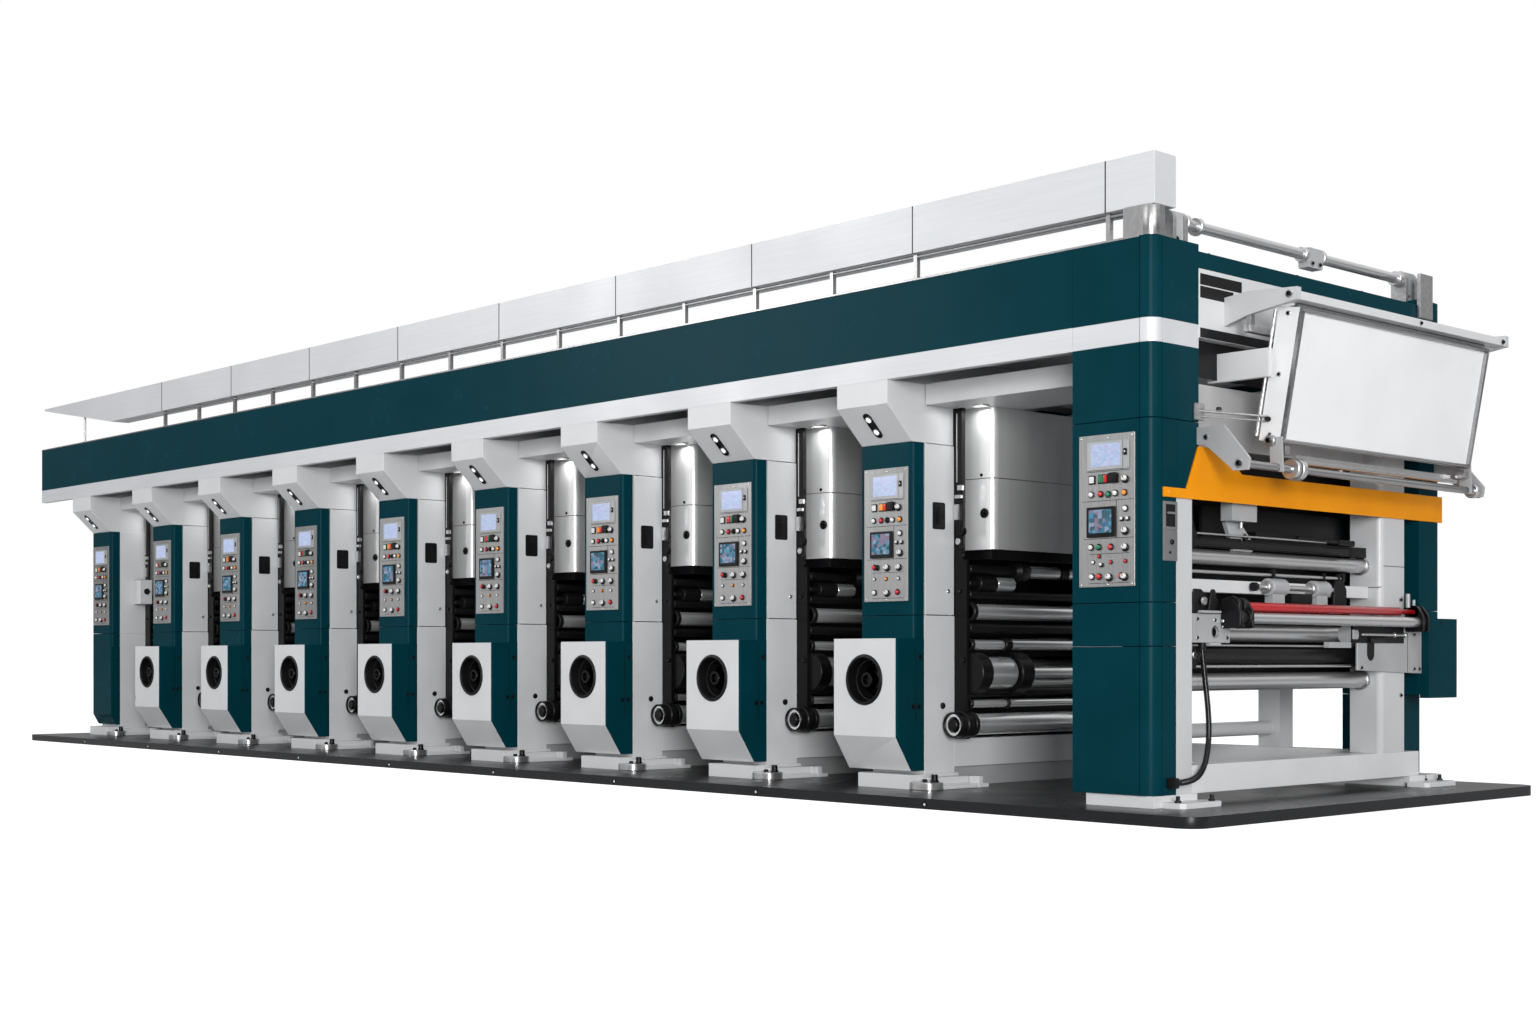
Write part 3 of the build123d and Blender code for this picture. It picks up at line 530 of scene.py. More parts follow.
route = spline_points(ROUTE, 24)
ridges = evenly(route, 0.0035)
tube_along("conduit_hose", ridges, [0.017 if i % 4 < 2 else 0.0134 for i in range(len(ridges))])
conduit = loose("conduit_hose", "root", HOSE, ["conduit"])
turned("conduit_ends", [(0, 0), (0, 0.02), (0.012, 0.022), (0.03, 0.022), (0.034, 0.019), (0.04, 0.019),
                        (0.04, 0)], ROUTE[0], UP, 24)
turned("conduit_ends", [(-0.018, 0), (-0.018, 0.0185), (0, 0.021), (0.03, 0.022), (0.03, 0)],
       (6.762, -1.347, 0.19), OPERATOR, 24)
box("conduit_ends", (6.73, -1.397, 0.162), (6.79, -1.36, 0.218), 0.006)
conduit_ends = loose("conduit_ends", "root", PLASTIC, ["conduit_gland"])

# ------------ top and columns
FASCIA_Z = (2.627, 3.057)
BAND_Z = (2.499, 2.627)
NEAR_FRONT = [("near", "front")]
NEAR_REAR = [("near", "rear")]
FAR_X = -7.589
CORNER = 0.085
LOWER_INNER = -1.306
UPPER_INNER = -1.102
REAR_COLUMN_Y = (1.22, -FRONT)
RAIL_Y = -1.457


def cornered(piece, z, inner):
    """The operator side corner of the end: a front plate, a rounded corner piece and an end plate."""
    joint = END_X - CORNER
    box(piece, (COLUMN_X, FRONT, z[0]), (joint - 0.0015, inner, z[1]), 0.003)
    column(piece, (joint + 0.0015, END_X), (FRONT, FRONT + CORNER - 0.0015), z, CORNER - 0.004, NEAR_FRONT)
    box(piece, (joint + 0.0015, FRONT + CORNER + 0.0015, z[0]), (END_X, inner, z[1]), 0.003)


for z in ((0.124, 0.9055), (0.9085, 1.1365), (1.1395, 2.1025)):
    cornered("end_column_shells", z, LOWER_INNER)
box("end_column_shells", (COLUMN_X, LOWER_INNER + 0.001, 1.74), (END_X, UPPER_INNER, 2.1025), 0.003)
cornered("end_column_shells", (2.1055, 2.499), UPPER_INNER)
for z in ((0.62, 0.9055), (0.9085, 1.1365), (1.1395, 2.499)):
    column("end_column_shells", (COLUMN_X, END_X), REAR_COLUMN_Y, z, CORNER, NEAR_REAR)
box("end_column_shells", (COLUMN_X, 1.22, 0.124), (END_X - 0.155, -FRONT, 0.6185), 0.003)

for piece, z in (("fascia_sheets", FASCIA_Z), ("band_sheets", BAND_Z)):
    cornered(piece, z, UPPER_INNER)
    box(piece, (FAR_X, FRONT, z[0]), (COLUMN_X, FRONT + 0.06, z[1]), 0.0)
    box(piece, (FAR_X, 1.454, z[0]), (COLUMN_X, -FRONT, z[1]), 0.003)
    column(piece, (COLUMN_X, END_X), REAR_COLUMN_Y, z, CORNER, NEAR_REAR)

# Bright trim on the fascia's top edge, and the tube rail under the parapet
box("top_trims", (FAR_X, FRONT - 0.003, 3.05), (END_X - CORNER, FRONT + 0.02, 3.062), 0.002)
rod("top_trims", (-4.79, RAIL_Y, 3.2), (END_X - 0.19, RAIL_Y, 3.2), 0.011)
rod("top_trims", (-6.63, RAIL_Y, 3.05), (-6.63, RAIL_Y, 3.405), 0.011)
for x in [6.41 - PITCH * k for k in range(9)]:
    box("parapet_seams", (x - 0.0015, -1.4985, 3.2165), (x + 0.0045, -1.47, 3.4915), 0.0)
    knob("top_trims", (x, RAIL_Y, 3.057), UP, 0.026, 0.006, 0.018, 0.012, 20, closed=True)
fixed(
    ("end_column_shells", TEAL, "teal_paint", "end_columns"),
    ("fascia_sheets", TEAL, "teal_paint", "fascias", "fascia_corners"),
    ("band_sheets", SILVER, "brushed_silver", "silver_bands", "band_corners"),
    ("top_trims", TUBE, "brushed_silver"), ("parapet_seams", DARK_STEEL, "black_steel"),
)

# ------------ pillars
SLOPE_OUT = Vector((0, -0.694, -0.72))
SLOPE_DOWN = Vector((0, 0.72, -0.694))


def slot_frame(seat):
    """The dark frame of a lamp slot: a rounded plate with a sunken middle."""
    shape = bmesh.new()
    bmesh.ops.create_grid(shape, x_segments=1, y_segments=1, size=0.5)
    bmesh.ops.scale(shape, vec=(0.058, 0.19, 1), verts=shape.verts)
    round_corners(shape, shape.verts[:], 0.028, 6)
    thicken(shape, (0, 0, 0.007))
    lid = [f for f in shape.faces if f.calc_center_median().z > 0.0069]
    bmesh.ops.inset_region(shape, faces=lid, thickness=0.005, depth=0.0)
    lid = [max((f for f in shape.faces if f.calc_center_median().z > 0.0069), key=lambda f: f.calc_area())]
    thicken(shape, (0, 0, -0.005), lid)
    bmesh.ops.delete(shape, geom=lid, context="FACES")
    add("slot_frames", shape, seat @ Matrix.Translation((0, 0, -0.001)))


for x in PILLAR_X.values():
    for z in ((0.964, 1.1025), (1.1055, 2.1455)):
        column("claddings", (x, x + PILLAR_WIDTH), (PILLAR_FRONT, SEAM - 0.002), z, 0.03, NEAR_FRONT)
    centre = Vector((x + 0.2, -1.405, 2.251))
    turn = Matrix((Vector(NEAR), SLOPE_DOWN, SLOPE_OUT)).transposed().to_4x4()
    slot_frame(Matrix.Translation(centre) @ turn)
    for shift in (-0.048, 0.048):
        at = centre + SLOPE_DOWN * shift + SLOPE_OUT * 0.002
        turned("lamp_frames", [(0, 0.022), (0.007, 0.022), (0.009, 0.018), (0.004, 0.014)], at, SLOPE_OUT, 20)
        turned("lamp_lenses", [(0.001, 0.014), (0.006, 0.012), (0.008, 0.007), (0.0085, 0)], at, SLOPE_OUT, 16)
    at = (x + 0.649, -0.935, 2.373)
    turned("lamp_frames", [(-0.001, 0.056), (0.006, 0.056), (0.01, 0.051), (0.004, 0.042)], at, (0, 0, -1), 28)
    turned("lamp_lenses", [(0.0, 0.042), (0.005, 0.036), (0.007, 0)], at, (0, 0, -1), 24)
fixed(
    ("claddings", TEAL, "teal_paint", "pillar_claddings"), ("slot_frames", DARK_STEEL, "black_steel"),
    ("lamp_frames", CHROME, "chrome"), ("lamp_lenses", LAMP, "chrome"),
)

for n in PRINT_UNITS:
    x = PILLAR_X[n]
    side = x + PILLAR_WIDTH
    # chuck recess ring
    turned("chuck_rims", [(0.0, 0.154), (0.003, 0.1545), (-0.006, 0.15), (-0.008, 0.146), (-0.008, 0.136),
                          (0.002, 0.129), (0.06, 0.126), (0.063, 0.12), (0.112, 0.117), (0.118, 0.112),
                          (0.118, 0.06)], (x + PRINT_X, GUARD_FRONT, PRINT_Z), REAR, 48)
    # handle and lock on the cabinet door
    plate("door_handle", [(-1.127, 1.628), (-1.013, 1.628), (-1.013, 1.792), (-1.127, 1.792)],
          side - 0.0092, 0.0122, "X", 0.002, 0.014)
    box("door_handle", (side + 0.003, -1.108, 1.648), (side + 0.0045, -1.032, 1.772), 0.001)
    box("door_handle", (side + 0.003, -1.088, 1.662), (side + 0.013, -1.058, 1.742), 0.004)
    knob("door_handle", (side + 0.003, -1.07, 1.757), NEAR, 0.007, 0.008, 0.004, 0.01, 14)
    loose("door_handle", f"pillar_door_{n}", PLASTIC).name = f"door_handle_{n}"
    turned("door_lock", [(-0.001, 0.013), (0.003, 0.013), (0.006, 0.01), (0.006, 0.004), (0.003, 0.003),
                         (0.003, 0)], (side, -0.985, 1.254), NEAR, 16)
    loose("door_lock", f"pillar_door_{n}", STEEL).name = f"door_lock_{n}"
    # cheek fittings
    turned("latches", [(0, 0.02), (0.006, 0.02), (0.012, 0.015), (0.012, 0.006), (0.009, 0)],
           (side, -1.037, 0.556), NEAR, 18)
    for y, z in ((-1.24, 0.853), (-1.3, 0.554), (-1.25, 0.554)):
        box("latches", (side, y - 0.009, z - 0.014), (side + 0.014, y + 0.009, z + 0.014), 0.003)
    box("latches", (side, -1.2765, 0.44), (side + 0.0015, -1.2735, 0.93), 0.0)
fixed(("chuck_rims", PLASTIC, "black_plastic"), ("latches", PLASTIC, "black_plastic"))

# Print cylinders, smooth turned, each with its chuck in the guard box
HALF_CYLINDER = [(0.806, 0.121), (0.806, 0.047), (0.808, 0.045), (0.9257, 0.045), (0.9277, 0.043), (0.9277, 0)]
for n in PRINT_UNITS:
    at = (PILLAR_X[n] + PRINT_X, 0, PRINT_Z)
    name = f"print_cylinder_{n}_body"
    far_half = [(-along_axis, radius) for along_axis, radius in reversed(HALF_CYLINDER)]
    turned(name, far_half + [(-0.802, 0.125), (0.802, 0.125)] + HALF_CYLINDER, at, REAR, 56)
    loose(name, f"print_cylinder_{n}", CHROME, [f"print_cylinder_{n}"])
    name = f"print_cylinder_{n}_chuck"
    turned(name, [(1.3123, 0), (1.3123, 0.098), (1.33, 0.098), (1.336, 0.09), (1.352, 0.066), (1.36, 0.054),
                  (1.404, 0.05), (1.411, 0.045), (1.411, 0.03), (1.392, 0.024), (1.392, 0)], at, OPERATOR, 40)
    for angle in [math.tau * k / 6 for k in range(6)]:
        spot = (at[0] + 0.08 * math.cos(angle), 0, at[2] + 0.08 * math.sin(angle))
        knob(name, spot, OPERATOR, 0.007, 1.338, 0.005, 1.34, 10, start=1.33, closed=True)
    loose(name, f"print_cylinder_{n}", DARK_STEEL)

# ------------ control panels
ROW_LAMPS = [
    (83, 316, "white"), (145, 316, "red"), (241, 316, "white"), (300, 316, "orange"),
    (87, 754, "white"), (280, 754, "red"),
]
PILLAR_KEYS = ROW_LAMPS + [
    (197, 316, "black"), (302, 400, "white"), (88, 600, "red"), (112, 603, "black"), (194, 600, "dial"),
    (292, 600, "dial"), (87, 672, "small_white"), (187, 672, "small_orange"), (289, 672, "small_white"),
    (194, 754, "dial"), (290, 238, "dial"), (302, 513, "dial"), (275, 452, "toggle"), (316, 452, "toggle"),
]
END_KEYS = ROW_LAMPS + [
    (195, 320, "green"), (306, 400, "white"), (81, 597, "white"), (132, 597, "green"), (211, 599, "red"),
    (306, 600, "dial"), (95, 677, "small_white"), (135, 647, "small_red"), (150, 690, "toggle"),
    (211, 680, "small_red"), (306, 677, "small_red"), (135, 754, "red"), (201, 755, "dial"),
    (302, 755, "dial"), (306, 240, "dial"), (306, 513, "dial"), (285, 452, "toggle"), (322, 452, "toggle"),
]
CAPS = ("white", "red", "green", "orange", "black")


def key(kind, x, y, z):
    """One control on a panel whose face looks along -Y."""
    at = (x, y, z)
    if kind in CAPS:
        turned("key_rings", [(0, 0.0185), (0.005, 0.0185), (0.007, 0.0165), (0.007, 0.014), (0.004, 0.0135)],
               at, OPERATOR, 20)
        turned(f"{kind}_caps", [(0.002, 0.0135), (0.012, 0.013), (0.016, 0.01), (0.018, 0.005), (0.0185, 0)],
               at, OPERATOR, 20)
    elif kind == "dial":
        knob("black_caps", (x, y, z - 0.006), OPERATOR, 0.022, 0.006, 0.018, 0.01, 22)
        turned("white_caps", [(0.009, 0.015), (0.022, 0.0135), (0.024, 0.011), (0.024, 0)], at, OPERATOR, 18)
        box("black_caps", (x - 0.0015, y - 0.0255, z), (x + 0.0015, y - 0.023, z + 0.0125), 0.0)
    elif kind == "toggle":
        box("black_caps", (x - 0.012, y - 0.008, z - 0.015), (x + 0.012, y, z + 0.008), 0.003)
        knob("white_caps", at, OPERATOR, 0.008, 0.014, 0.004, 0.017, 12, 0.006)
    else:
        piece = kind.removeprefix("small_") + "_caps"
        turned("key_rings", [(0, 0.012), (0.004, 0.012), (0.005, 0.009)], at, OPERATOR, 14)
        turned(piece, [(0.002, 0.009), (0.009, 0.008), (0.012, 0.004), (0.0125, 0)], at, OPERATOR, 14)


def control_panel(x, y, top, keys, paired):
    """Everything that stands on one control panel."""
    def spot(u, v, out=0.0):
        return x + u / 1000, y - out, top - v / 1000

    def pad(piece, u, v, depth, bevel=0.0, back=0.0):
        box(piece, spot(u[0], v[1], back + depth), spot(u[1], v[0], back), bevel)

    for u, v in ((16, 15), (349, 15), (16, 796), (349, 796), (190, 20), (190, 797)):
        screw(spot(u, v), OPERATOR)
    for u, v in (((55, 332), 196), ((22, 362), 352), ((30, 362), 553), ((70, 332), 634), ((70, 332), 790)):
        pad("panel_lines", u, (v - 1.2, v + 1.2), 0.001)
    pad("panel_lines", (246, 248), (352, 553), 0.001)
    for piece, u, v, depth, bevel, back in (
        # upper display with its switch plate
        ("bezels", (60, 290), (38, 189), 0.009, 0.004, 0.0), ("bezels", (293, 332), (38, 189), 0.006, 0.002, 0.0),
        ("pale_displays", (86, 281), (51, 170), 0.0012, 0.0, 0.009),
        ("black_caps", (301, 321), (84, 120), 0.014, 0.004, 0.0),
        ("white_caps", (307, 315), (96, 106), 0.017, 0.003, 0.0),
        # lower display
        ("screen_frames", (58, 242), (384, 546), 0.013, 0.004, 0.0),
        ("colour_displays", (76, 224), (399, 523), 0.0012, 0.0, 0.013),
        # square keys
        ("screen_frames", (68, 110), (214, 262), 0.006, 0.002, 0.0),
        ("white_caps", (74, 104), (220, 256), 0.012, 0.004, 0.0),
        ("screen_frames", (128, 262), (212, 262), 0.005, 0.002, 0.0),
        ("black_caps", (202, 256), (206, 262), 0.02, 0.008, 0.0),
    ):
        pad(piece, u, v, depth, bevel, back)
    for u, piece in zip(((134, 164), (168, 190)), paired):
        pad(piece, u, (216, 256), 0.011, 0.004)
    for u, v, kind in keys:
        key(kind, *spot(u, v))


for n, x in PILLAR_X.items():
    paired = ("orange_caps", "red_caps") if n % 2 else ("red_caps", "green_caps")
    control_panel(x + 0.032, PILLAR_FRONT - 0.012, 1.999, PILLAR_KEYS, paired)
control_panel(6.259, FRONT - 0.012, 2.033, END_KEYS, ("green_caps", "red_caps"))
fixed(
    ("key_rings", DARK_STEEL, "black_steel"), ("panel_lines", DARK_STEEL, "black_steel"),
    ("bezels", GREY, "grey_paint"), ("screen_frames", PLASTIC, "black_plastic", "screens"),
    ("pale_displays", PALE_SCREEN, "black_plastic"), ("colour_displays", COLOUR_SCREEN, "black_plastic"),
    ("white_caps", WHITE_CAP, "black_plastic"), ("red_caps", RED_CAP, "red_rubber"),
    ("green_caps", GREEN_CAP, "black_plastic"), ("orange_caps", ORANGE_CAP, "orange_paint"),
    ("black_caps", PLASTIC, "black_plastic"), ("screws", STEEL, "chrome"),
)

# ------------ hoods
HOOD_SIDE = 0.847
ALL_CORNERS = [("near", "front"), ("near", "rear"), ("far", "front"), ("far", "rear")]
for x in PILLAR_X.values():
    for z in ((1.507, 1.9395), (1.9425, 2.373)):
        column("hood_shells", (x - 0.238, x + 0.668), (-HOOD_SIDE, HOOD_SIDE), z, 0.06, ALL_CORNERS)
    turned("hood_knobs", [(0, 0.03), (0.008, 0.03), (0.012, 0.024), (0.012, 0.016), (0.02, 0.014), (0.022, 0)],
           (x + 0.605, -HOOD_SIDE, 1.728), OPERATOR, 24)
    knob("hood_knobs", (x + 0.58, -HOOD_SIDE, 1.962), OPERATOR, 0.01, 0.006, 0.006, 0.008, 14)
box("hood_shells", (6.25, UPPER_INNER, 1.99), (6.65, 0.775, 2.33), 0.004)
fixed(("hood_shells", STAINLESS, "stainless", "dryer_hoods"), ("hood_knobs", DARK_STEEL, "black_steel"))

# ------------ rollers between the pillars
INNER = 0.904
# height, radius, start and stop of each roller, and of the dark rings, bearings and rollers
BRIGHT = [
    (0.441, 0.065, -INNER, INNER), (0.566, 0.025, -INNER, INNER), (1.13, 0.049, -INNER, INNER),
    (0.928, 0.031, -INNER, -0.587), (0.931, 0.034, -0.525, INNER), (0.754, 0.1, -0.789, -0.539),
    (0.754, 0.04, -0.412, INNER), (1.303, 0.044, -0.665, -0.497), (1.388, 0.042, -0.363, INNER),
]
DARK_BOTH_SIDES = [
    (0.441, 0.08, -0.904, -0.872), (1.13, 0.062, -0.904, -0.868), (0.754, 0.128, -0.904, -0.802),
    (0.754, 0.128, -0.525, -0.412), (0.566, 0.036, -0.904, -0.88), (0.928, 0.042, -0.904, -0.875),
]
DARK = DARK_BOTH_SIDES + [(z, radius, -stop, -start) for z, radius, start, stop in DARK_BOTH_SIDES] + [
    (0.93, 0.046, -0.587, -0.525), (0.566, 0.036, -0.56, -0.535), (1.303, 0.048, -0.829, -0.665),
    (1.388, 0.05, -0.049, 0.032), (1.303, 0.022, -INNER, -0.829), (1.388, 0.03, -INNER, -0.497),
    (1.235, 0.028, -INNER, INNER), (1.03, 0.03, -INNER, INNER), (0.64, 0.022, -INNER, INNER),
]
# lugs of the feet: their reach from the pillar in X, their place in Y and their top
LUGS = [(0.0, 0.6, (0.8, 1.23), 0.085), (0.0, 0.53, (0.9, 1.23), 0.13),
        (0.54, 0.575, (0.88, 0.92), 0.13), (0.57, 0.605, (0.86, 0.9), 0.13)]


def channel_fittings(x, side):
    """The fittings on the upright channel beside a pillar."""
    face = CHANNEL_FACE * side
    out = (0, side, 0)

    def strip(piece, a, b, z, depth, bevel=0.003):
        low, high = sorted((face, face + side * depth))
        box(piece, (x + a, low, z[0]), (x + b, high, z[1]), bevel)

    turned("roller_ends", [(0, 0.03), (0.012, 0.03), (0.02, 0.024), (0.026, 0.024), (0.026, 0)],
           (x + 0.5, face, 1.618), out, 20)
    for a, z, radius in ((0.5, 1.525, 0.018), (0.5, 1.47, 0.015), (0.475, 1.254, 0.012), (0.5, 0.83, 0.016)):
        knob("roller_ends", (x + a, face, z), out, radius, 0.012, radius - 0.004, 0.016, 16)
    turned("channel_fittings", [(0, 0.02), (0.006, 0.02), (0.008, 0.016), (0.003, 0.013), (0.003, 0)],
           (x + 0.462, face, 1.559), out, 20)
    strip("channel_fittings", 0.44, 0.478, (1.69, 1.785), 0.02)
    strip("channel_fittings", 0.45, 0.5, (1.82, 1.842), 0.022)
    strip("channel_fittings", 0.475, 0.51, (1.868, 1.9), 0.026)
    strip("roller_ends", 0.445, 0.5, (1.9, 2.355), 0.012, 0.002)
    strip("channel_fittings", 0.458, 0.466, (1.92, 2.34), 0.014, 0.001)


def foot(x, side):
    """The fittings of a foot: raised plates and square lugs, and a round lug with its bolts."""
    for low, high, y, top in LUGS:
        near, far = sorted((y[0] * side, y[1] * side))
        box("foot_lugs", (x + max(low, PILLAR_WIDTH), near, PLATE_TOP), (x + high, far, top), 0.006)
    near, far = sorted((1.2 * side, 1.36 * side))
    plate("foot_tongues", [(x + 0.43, near), (x + 0.62, near), (x + 0.62, far), (x + 0.43, far)],
          PLATE_TOP, 0.047, "Z", 0.004, 0.06)
    for a, y, radius, height in ((0.56, 1.25, 0.02, 0.045), (0.5, 1.27, 0.013, 0.016)):
        rod("foot_bolts", (x + a, side * y, 0.1), (x + a, side * y, 0.107 + height), radius, 0.003, 20)
        hexagon("foot_bolts", (x + a, side * y, 0.104), UP, radius * 1.35, 0.014)


for n, x in PILLAR_X.items():
    roller_x = x + 0.516
    for z, radius, start, stop in BRIGHT:
        along("chrome_rollers", roller_x, z, start, stop, radius, 0.003, 28)
    along("chrome_rollers", roller_x, 0.441, -0.873, -0.85, 0.073, 0.004, 28)
    for z, radius, start, stop in DARK:
        along("roller_ends", roller_x, z, start, stop, radius, 0.004, 28)
    turned("roller_ends", [(-0.497, 0), (-0.497, 0.05), (-0.47, 0.076), (-0.4, 0.076), (-0.363, 0.056),
                           (-0.363, 0)], (roller_x, 0, 1.388), REAR, 32)
    turned("roller_ends", [(-0.539, 0), (-0.539, 0.06), (-0.525, 0.06), (-0.525, 0)],
           (roller_x, 0, 0.754), REAR, 24)
    if n in PRINT_UNITS:
        along("impression_rollers", x + PRINT_X, 0.915, -CHANNEL_FACE, CHANNEL_FACE, 0.07, 0.004, 32)
    for side in (-1, 1):
        channel_fittings(x, side)
        foot(x, side)
    knob("plate_studs", (x + 1.0, -1.809, 0.026), OPERATOR, 0.021, 0.0082, 0.0205, 0.0083, 20)
    # painted glint: a chrome dot in the middle of each stud stands for the glint on it
    knob("cup_rings", (x + 1.0, -1.809, 0.026), OPERATOR, 0.008, 0.0083, 0.0076, 0.0084, 16)
    # low sill below the floor beam
    box("sills", (x + 0.31, -0.93, PLATE_TOP), (x + 0.405, 0.93, 0.18), 0.004)
    # round housing: a cup with its ring and its knob
    turned("cup_rings", [(1.0, 0.05), (1.0, 0.066), (1.012, 0.07), (1.024, 0.07), (1.03, 0.066), (1.03, 0.05),
                         (1.0, 0.05)], (roller_x, 0, 0.441), OPERATOR, 36)
    for side in (-1, 1):
        turned("housings", [(0.928, 0), (0.928, 0.084), (0.975, 0.084), (0.982, 0.078), (1.04, 0.078),
                            (1.046, 0.073), (1.042, 0.068), (0.975, 0.066), (0.97, 0.06), (0.97, 0.04),
                            (1.0, 0.038), (1.04, 0.036), (1.046, 0.03), (1.046, 0)],
               (roller_x, 0, 0.441), (0, side, 0), 40)
for x, y in ((6.8, -1.39), (6.83, -1.13), (6.72, 1.305), (6.784, 1.376)):
    rod("foot_bolts", (x, y, 0.085), (x, y, 0.125), 0.011, 0.002, 16)
    hexagon("foot_bolts", (x, y, 0.088), UP, 0.019, 0.014)
# roller blocks of the end frame, and the switch box in the first bay
for y in (-0.924, -0.806, 1.02, 1.081):
    plate("housings", [(6.745, 1.005), (6.87, 1.005), (6.87, 1.1), (6.82, 1.165), (6.745, 1.165)],
          y, 0.019, "Y", 0.003, 0.02)
for start, stop in ((-0.91, -0.8), (1.03, 1.09)):
    along("housings", 6.821, 1.063, start, stop, 0.036, 0.002, 28)
    along("housings", 6.8, 1.125, start, stop, 0.028, 0.002, 28)
    along("channel_fittings", 6.765, 1.05, start, stop, 0.012)
    box("housings", (6.745, start, 1.09), (6.775, stop, 1.15), 0.004)
box("switch_faces", (-6.365, -1.0505, 1.408), (-6.211, -1.0475, 1.652), 0.001)
box("switch_faces", (-6.2085, -1.045, 1.408), (-6.2055, -0.931, 1.652), 0.001)
knob("roller_ends", (-6.2055, -0.988, 1.535), NEAR, 0.03, 0.012, 0.026, 0.016, 24)
box("roller_ends", (-6.195, -0.995, 1.505), (-6.172, -0.981, 1.565), 0.004)
fixed(
    ("channel_fittings", SATIN, "chrome"), ("foot_lugs", WHITE, "white_paint"),
    ("foot_tongues", SATIN, "chrome"), ("foot_bolts", DARK_STEEL, "black_steel"),
    ("plate_studs", DARK_STEEL, "black_steel"), ("sills", GREY, "grey_paint"),
    ("cup_rings", CHROME, "chrome"), ("switch_faces", WHITE, "white_paint"),
)

# ------------ end frame
def bolt(at, direction, radius=0.012):
    """A dark socket bolt on its pale washer."""
    knob("bolt_washers", at, direction, 1.7 * radius, 0.003, 1.55 * radius, 0.004, 18)
    turned("bolt_heads", [(0.003, radius), (0.003 + 0.7 * radius, radius), (0.003 + 0.85 * radius, 0.85 * radius),
                          (0.003 + 0.85 * radius, 0.5 * radius), (0.003 + 0.35 * radius, 0.45 * radius),
                          (0.003 + 0.35 * radius, 0)], at, direction, 16)


def collar(piece, x, z, y, inner, outer, width, steps=32):
    """A round collar on a rod that lies along Y."""
    turned(piece, [(0, inner), (0, outer - 0.004), (0.004, outer), (width - 0.004, outer), (width, outer - 0.004),
                   (width, inner), (0, inner)], (x, y, z), REAR, steps)


def lug(x, z, y, width, foot, radius=0.052):
    """A cast lug: a round eye over a straight foot, for a rod along Y."""
    shape = bmesh.new()
    outline = [(x - radius, foot), (x + radius, foot)]
    outline += [(x + radius * math.cos(a), z + radius * math.sin(a)) for a in [math.pi * k / 12 for k in range(13)]]
    shape.faces.new([shape.verts.new((a, y, b)) for a, b in outline])
    thicken(shape, (0, width, 0))
    soften_block(shape, 0.004, 2)
    add("cast_lugs", shape)


# inspection board, which leans in at its foot
TILT = math.radians(10)
BOARD_TOP = Vector((7.135, 0, 2.709))
BOARD_DOWN = Vector((-math.sin(TILT), 0, -math.cos(TILT)))
BOARD_IN = Vector((-math.cos(TILT), 0, math.sin(TILT)))


def on_board(down, inward, y):
    """A place given by its distance down the board and in from its face."""
    spot = BOARD_TOP + BOARD_DOWN * down + BOARD_IN * inward
    return spot.x, y, spot.z


ROOF_ROD = (6.6, 3.195)
LOWER_ROD = (7.001, 1.866)
OUTER_ROLLER = (6.821, 1.063)
UPPER_ROLLER = (6.801, 1.125)
MOTOR = (6.67, 1.245)
END_ROLLER = 6.601
INSIDE = -1.165         # inner face of the near column
BRACKET_FACE = 6.7455

# roof rod: its lugs at both columns and its collars
for y, width, foot_z in ((-1.222, 0.03, 3.058), (-1.118, 0.03, 3.058), (1.206, 0.034, 3.03), (1.312, 0.034, 3.03)):
    lug(*ROOF_ROD, y, width, foot_z)
for y, outer, width in ((-1.075, 0.048, 0.04), (-0.955, 0.05, 0.028), (0.095, 0.044, 0.035), (0.28, 0.05, 0.03),
                        (1.155, 0.046, 0.05)):
    collar("rod_collars", *ROOF_ROD, y, 0.029, outer, width)

